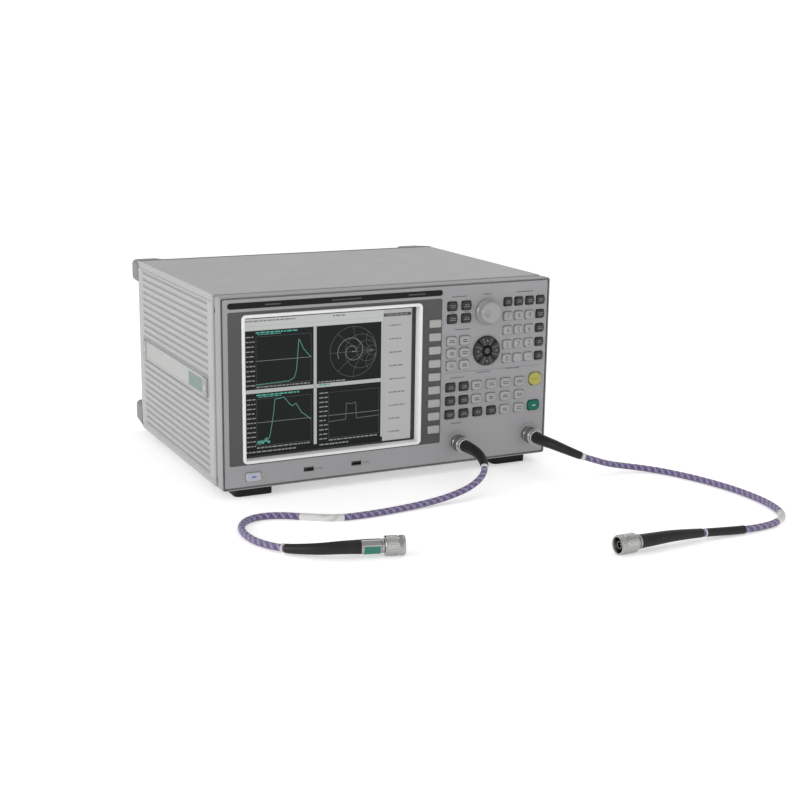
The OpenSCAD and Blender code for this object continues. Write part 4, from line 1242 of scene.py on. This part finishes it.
def make_side_panel(node, side):
    """A ribbed side panel: long grooves with rounded ends between flat margins."""
    low, high = node_box(node)
    columns = [(low[1], 0), (low[1] + 0.5, 0)] + [(GROOVE_FRONT + run, share) for run, share in GROOVE_END]
    columns += [(GROOVE_BACK - run, share) for run, share in reversed(GROOVE_END)]
    columns += [(high[1] - 0.5, 0), (high[1], 0)]
    rows = groove_offsets(low[2], high[2])
    n, last = len(rows), len(columns) - 1
    verts, faces = [], []
    for i, (y, share) in enumerate(columns):
        for j, (z, depth) in enumerate(rows):
            sink = 0.5 if i in (0, last) or j in (0, n - 1) else depth * share
            verts.append((side * (SIDE_X - sink), y, z))
    for i in range(last):
        for k in range(i * n, i * n + n - 1):
            faces.append([k, k + 1, k + n + 1, k + n])
    edge = (list(range(n)) + [i * n + n - 1 for i in range(1, last + 1)]
            + [last * n + j for j in range(n - 2, -1, -1)] + [i * n for i in range(last - 1, 0, -1)])
    first_back = len(verts)
    verts += [(side * (SIDE_X - SIDE_PANEL_T), *verts[k][1:]) for k in edge]
    for k in range(len(edge)):
        m = (k + 1) % len(edge)
        faces.append([edge[k], edge[m], first_back + m, first_back + k])
    faces.append([first_back + k for k in range(len(edge))])
    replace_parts(new_piece(node + "_ribbed", verts, faces, CASE, soft_angle=40), node)


def cross_recess(solid, middle, side, first_turn, reach, width):
    """Two crossed slots on the face of a screw in the left or right side."""
    middle = Vector(middle)
    for turn in (first_turn, first_turn + 90):
        a = math.radians(turn)
        along = Vector((0, math.cos(a), math.sin(a))) * reach
        across = Vector((0, -math.sin(a), math.cos(a))) * width
        corners = [middle + along * p + across * q for p, q in ((1, 1), (-1, 1), (-1, -1), (1, -1))]
        solid.loft([corners, [c + Vector((side * SKIN, 0, 0)) for c in corners]])


def make_strap(word, side):
    """A vinyl carrying strap with raised edges, and its two moulded end caps with screws."""
    low, high = node_box("side_straps")
    z0, z1 = low[2], high[2]
    z, height = (z0 + z1) / 2, z1 - z0
    outer = side * 214.5
    half = [(0.6, 0), (0, 0.6), (0, 2.2), (0.4, 2.7)]       # from the edge: distance in, distance up
    section = [(side * SIDE_X, z0), (side * SIDE_X, z1)]
    section += [(outer - side * inward, z1 - up) for inward, up in half]
    section += [(outer - side * inward, z0 + up) for inward, up in reversed(half)]
    loops = [[(px, y, pz) for px, pz in section] for y in (low[1], low[1] + 0.5, high[1] - 0.5, high[1])]
    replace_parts(new_piece("strap_" + word, *loft(loops), STRAP), "side_straps")
    caps, screws = Solid(), Solid()
    for y0 in (node_box("strap_caps")[0][1], high[1]):
        y = y0 + 7
        sections = [(14, height, 2.5, SIDE_X), (14, height, 2.5, 214.2), (13.2, height - 0.8, 2.2, 214.9)]
        caps.loft([[(side * x, py, pz) for py, pz in round_rect(w, h, r, middle=(y, z))]
                   for w, h, r, x in sections])
        screws.turn((side * 214.8, y, z), (side, 0, 0), [(0, 3.2), (0.3, 3.1), (0.5, 2.6)], 24)
        cross_recess(caps, (side * 215.28, y, z), side, 20, 1.8, 0.4)
    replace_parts(caps.piece("strap_caps_" + word, CAP), "strap_caps")
    screws.piece("strap_screws_" + word, SCREW)
    if side < 0:    # only the left strap carries a patch
        outline = round_rect(50, height - 7, 2, 5, middle=(low[1] + 28, z))
        loops = [[(outer + lift, py, pz) for py, pz in outline] for lift in (0.6, 0.3)]
        new_piece("strap_patch", *loft(loops), PATCH_GREEN)


def make_case_screws():
    """Countersunk screws of the covers, each with a cross recess shown as a thin black cross of painted
    shade on its head.
    """
    heads, slots = Solid(), Solid()
    for side in (-1, 1):
        for y in (-129, 91):
            for z in (15, 230.5):
                heads.turn((side * 212, y, z), (side, 0, 0), [(0, 2.5), (0.4, 2.4), (0.8, 1.9)], 24)
                # painted shade: the black cross stands for the shaded hollow of the recess
                cross_recess(slots, (side * 212.79, y, z), side, 30, 1.3, 0.3)
    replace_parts(heads.piece("case_screw_heads", SCREW), "case_screws")
    slots.piece("case_screw_recess_shade", BLACK_AND_SHADE)


def make_rear_rim():
    """The dark sealing strip along the rear edge of the top cover."""
    low, high = node_box("top_cover")
    outline = [(low[0], high[2]), (low[0], high[2] + 0.4), (high[0], high[2] + 0.4), (high[0], high[2])]
    new_piece("top_rear_strip", *prism(outline, high[1] - 4, high[1]), RIM)


for side, word in ((-1, "left"), (1, "right")):
    make_side_panel(word + "_side_panel", side)
    make_strap(word, side)
make_case_screws()
make_rear_rim()


# ---------- back ----------

REAR_Y = 151
BACKWARDS = (0, 1, 0)
VENTS = ((-190, 8, (40, 56)), (30, 4, (38, 55, 72, 150, 167)))      # first x, slots in a row, heights
REAR_TITLES = (   # x, z and width of each title bar
    (-144, 200, 60), (-140, 134, 30), (-60, 134, 30), (10, 84, 16), (-60, 86, 14), (130, 80, 24),
    (150, 212, 40))
FAN_X, FAN_Z = 110, 157
ROTOR_FRONT = 128.5
BLADES, BLADE_STEPS = 7, 8
BLADE_SWEEP = 0.22              # how far a blade's tip lags its root, in radians
BLADE_SECTION = ((-1, 0), (-0.6, 0.55), (0, 0.8), (0.6, 0.6), (1, 0.05), (0.6, 0), (0, 0.1), (-0.6, 0.1))
HUB_R, BLADE_R = 16.5, 41.6
GUARD_SCREW_R = 58
WIRE_R = 1


def make_vents():
    """Rows of black slots in the rear panel, painted shade standing for its vent openings, and its title
    bars.
    """
    slots, marks = Solid(), Solid()
    for first_x, count, heights in VENTS:
        for x in steps_of(first_x, 9, count):
            for z in heights:
                # painted shade: each black slot stands for the dark inside of a vent opening
                slots.take(*prism(round_rect(3.2, 12, 1.6, 4, (x, z)), REAR_Y, REAR_Y + SKIN))
    slots.piece("rear_vent_shade", BLACK_AND_SHADE)
    rng = random.Random(8)
    for x, z, width in REAR_TITLES:
        half = width * rng.uniform(0.8, 1) / 2
        marks.take(*bar(x - half, z - 0.7, x + half, z + 0.7, REAR_Y + SKIN))
    marks.piece("rear_print", PRINT_DARK)


def wire(points, closed=False):
    """A round wire through the points."""
    points = [Vector(p) for p in points]
    n = len(points)
    loops = []
    for i, p in enumerate(points):
        if closed:
            run = points[(i + 1) % n] - points[i - 1]
        else:
            run = points[min(i + 1, n - 1)] - points[max(i - 1, 0)]
        loops.append(ring(p, run.normalized(), full_turn(12), WIRE_R, BACKWARDS))
    return loft(loops, joined=closed)


def make_fan_rotor():
    """Seven twisted blades on a hub."""
    back = node_box("fan_rotor")[1][1]
    hub = [(0, 12), (0, 15.5), (0.6, 16.6), (1.6, 17), (18, 17), (18, 15)]
    rotor = Solid()
    rotor.turn((FAN_X, back, FAN_Z), (0, -1, 0), hub, 64)
    rotor.turn((FAN_X, back - 18, FAN_Z), (0, -1, 0), [(0, 1.95), (3, 1.95)], 20)
    middle_y = (ROTOR_FRONT + back) / 2
    for start in full_turn(BLADES):
        loops = []
        for step in range(BLADE_STEPS + 1):
            share = step / BLADE_STEPS
            radius = HUB_R + (BLADE_R - HUB_R) * share
            half = 8.5 - share
            tilt = math.radians(52 - 20 * share)
            loop = []
            for u, v in BLADE_SECTION:
                along = half * u
                lift = 1.3 * v + 1.5 * (1 - u * u)
                y = middle_y + along * math.cos(tilt) + lift * math.sin(tilt)
                turn = start + BLADE_SWEEP * share
                turn += (along * math.sin(tilt) - lift * math.cos(tilt)) / radius
                loop.append((FAN_X + radius * math.cos(turn), y, FAN_Z + radius * math.sin(turn)))
            loops.append(loop)
        rotor.loft(loops)
    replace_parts(rotor.piece("fan_blades", BLACK_AND_SHADE, "fan_rotor", soft_angle=40), "fan_rotor")


def make_fan_guard():
    """A wire guard held by four screws."""
    wires, screws = Solid(), Solid()
    for radius in (12, 22, 32, 42):
        points = circle(FAN_X, FAN_Z, radius, full_turn(64))
        wires.take(*wire([(x, REAR_Y + 1.2, z) for x, z in points], closed=True))
    corners = circle(FAN_X, FAN_Z, GUARD_SCREW_R, [math.radians(turn) for turn in (45, 135, 225, 315)])
    for (x, z), (far_x, far_z) in zip(corners[2:], corners):
        ends = [Vector((x, REAR_Y + 2.8, z)), Vector((far_x, REAR_Y + 2.8, far_z))]
        wires.take(*wire([ends[0].lerp(ends[1], share) for share in (0, 0.25, 0.75, 1)]))
    for x, z in corners:
        screws.turn((x, REAR_Y, z), BACKWARDS, [(0, 3.5), (2.4, 3.5), (3.4, 2.6), (3.8, 1.2)], 32)
    stand_in([wires.piece("fan_guard_wires", STEEL), screws.piece("fan_guard_screws", SCREW)],
             "fan_guard")


def bayonet_jack(shells, inserts, contacts, x, z):
    """A round shell with its cross pin, an insert and a contact."""
    shells.turn((x, REAR_Y, z), BACKWARDS, [
        (-12, 4.7), (-0.1, 4.7), (-0.1, 6.8), (0.4, 7), (1.8, 7), (2, 6.6), (2, 4.7), (13.6, 4.7),
        (14, 4.3), (14, 3.6), (10, 3.4)], 48)
    shells.turn((x, REAR_Y + 11, z - 6.5), (0, 0, 1), [(0, 0.7), (0.3, 1), (12.7, 1), (13, 0.7)], 20)
    inserts.turn((x, REAR_Y + 10.1, z), BACKWARDS, [(0, 3.3), (0.1, 3.3)], 32)
    contacts.turn((x, REAR_Y + 10.2, z), BACKWARDS, [(0, 0.8), (2, 0.8), (2.4, 0.5)], 16)


def pin_socket(flange, screws, inserts, contacts, middle, size, margin, proud, count):
    """A flange with a raised shell, an insert with two rows of contacts, and two jack screws."""
    (x, z), (w, h) = middle, size
    shell_w, insert_w, face = w - margin, w - margin - 2, REAR_Y + proud
    flange.loft(facing(middle, [(w, h, 3, REAR_Y), (w, h, 3, REAR_Y + 1.2),
                                (shell_w, h - 1.5, 3, REAR_Y + 1.4), (shell_w, h - 1.5, 3, face)]))
    inserts.loft(facing(middle, [(insert_w, h - 3.5, 2, face - 1), (insert_w, h - 3.5, 2, face + 0.05)]))
    for row, lift in ((0, 1.2), (1, -1.4)):
        for i in range(count - row):
            px = x + (i - (count - 1 - row) / 2) * insert_w / (count + 0.5)
            contacts.turn((px, face - 0.1, z + lift), BACKWARDS, [(0, 0.5), (0.3, 0.5)], 8)
    for side in (-1, 1):
        screws.turn((x + side * (w / 2 - 4.5), REAR_Y + 1.2, z), BACKWARDS, [
            (0, 2.9), (3.6, 2.9), (3.8, 2.5), (3.8, 1.3), (2.6, 1.3)], 6)


def make_rear_connectors():
    """Four bayonet jacks, two printer-style sockets with contacts and screws, and a blue video socket."""
    steel, inserts, contacts, blue = Solid(), Solid(), Solid(), Solid()
    for x in (-180, -156, -132, -108):
        bayonet_jack(steel, inserts, contacts, x, 187)
    for x in (-140, -60):
        pin_socket(steel, steel, inserts, contacts, (x, 122), (58, 13), 18, 7, 13)
    pin_socket(blue, steel, inserts, contacts, (10, 72), (31, 12), 12, 6, 5)
    stand_in([steel.piece("rear_sockets", STEEL), inserts.piece("rear_socket_inserts", BLACK_AND_SHADE),
              contacts.piece("rear_socket_contacts", GOLD), blue.piece("rear_video_socket", VIDEO_BLUE)],
             "rear_connectors")


def make_jack():
    """Sprung contacts inside the network jack."""
    contacts = Solid()
    section = ((-0.2, 0), (0.2, 0), (0.2, 0.3), (-0.2, 0.3))
    for x in steps_of(-63.57, 1.02, 8):
        contacts.loft([[(x + dx, REAR_Y - depth, z + dz) for dx, dz in section]
                       for depth, z in ((0.5, 76.5), (6, 75.2), (11.5, 74))])
    contacts.piece("network_jack_contacts", GOLD)


make_vents()
make_fan_rotor()
make_fan_guard()
make_rear_connectors()
make_jack()


# ---------- CAD nodes that stay ----------

CARRIED = (   # node, finish, width of its softened edges
    ("front_panel", PANEL, 0.3), ("display_surround", SURROUND, 0.3), ("display_window", GLASS, 0),
    ("lcd_module", SHEET, 0), ("key_board", BOARD, 0), ("chassis_tray", SHEET, 0),
    ("top_cover", COVER, 0.4), ("bottom_cover", COVER, 0.4), ("rear_bumpers", BUMPER, 1.2),
    ("case_feet", FOOT, 0.8), ("left_tilt_leg", BLACK_AND_SHADE, 0.6), ("right_tilt_leg", BLACK_AND_SHADE, 0.6),
    ("rear_panel", SHEET, 0.3),
    ("fan_housing", BLACK_AND_SHADE, 0.6), ("power_inlet", BLACK_AND_SHADE, 0.5), ("network_jack", STEEL, 0.3),
    ("main_board", BOARD, 0), ("power_supply", SHEET, 0), ("test_set", MACHINED, 0.5),
    ("semirigid_lines", COPPER, 0),
)


def carry(node, finish, edge):
    """Gives a CAD node its finish and softened edges."""
    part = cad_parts[node]
    for slot in part.material_slots:
        slot.material = finish
    if edge:
        bevel = part.modifiers.new("soft_edges", "BEVEL")
        bevel.width = edge * MM
        bevel.segments = 2
        bevel.limit_method = "ANGLE"
        bevel.angle_limit = math.radians(40)
        bevel.harden_normals = True


for carried in CARRIED:
    carry(*carried)
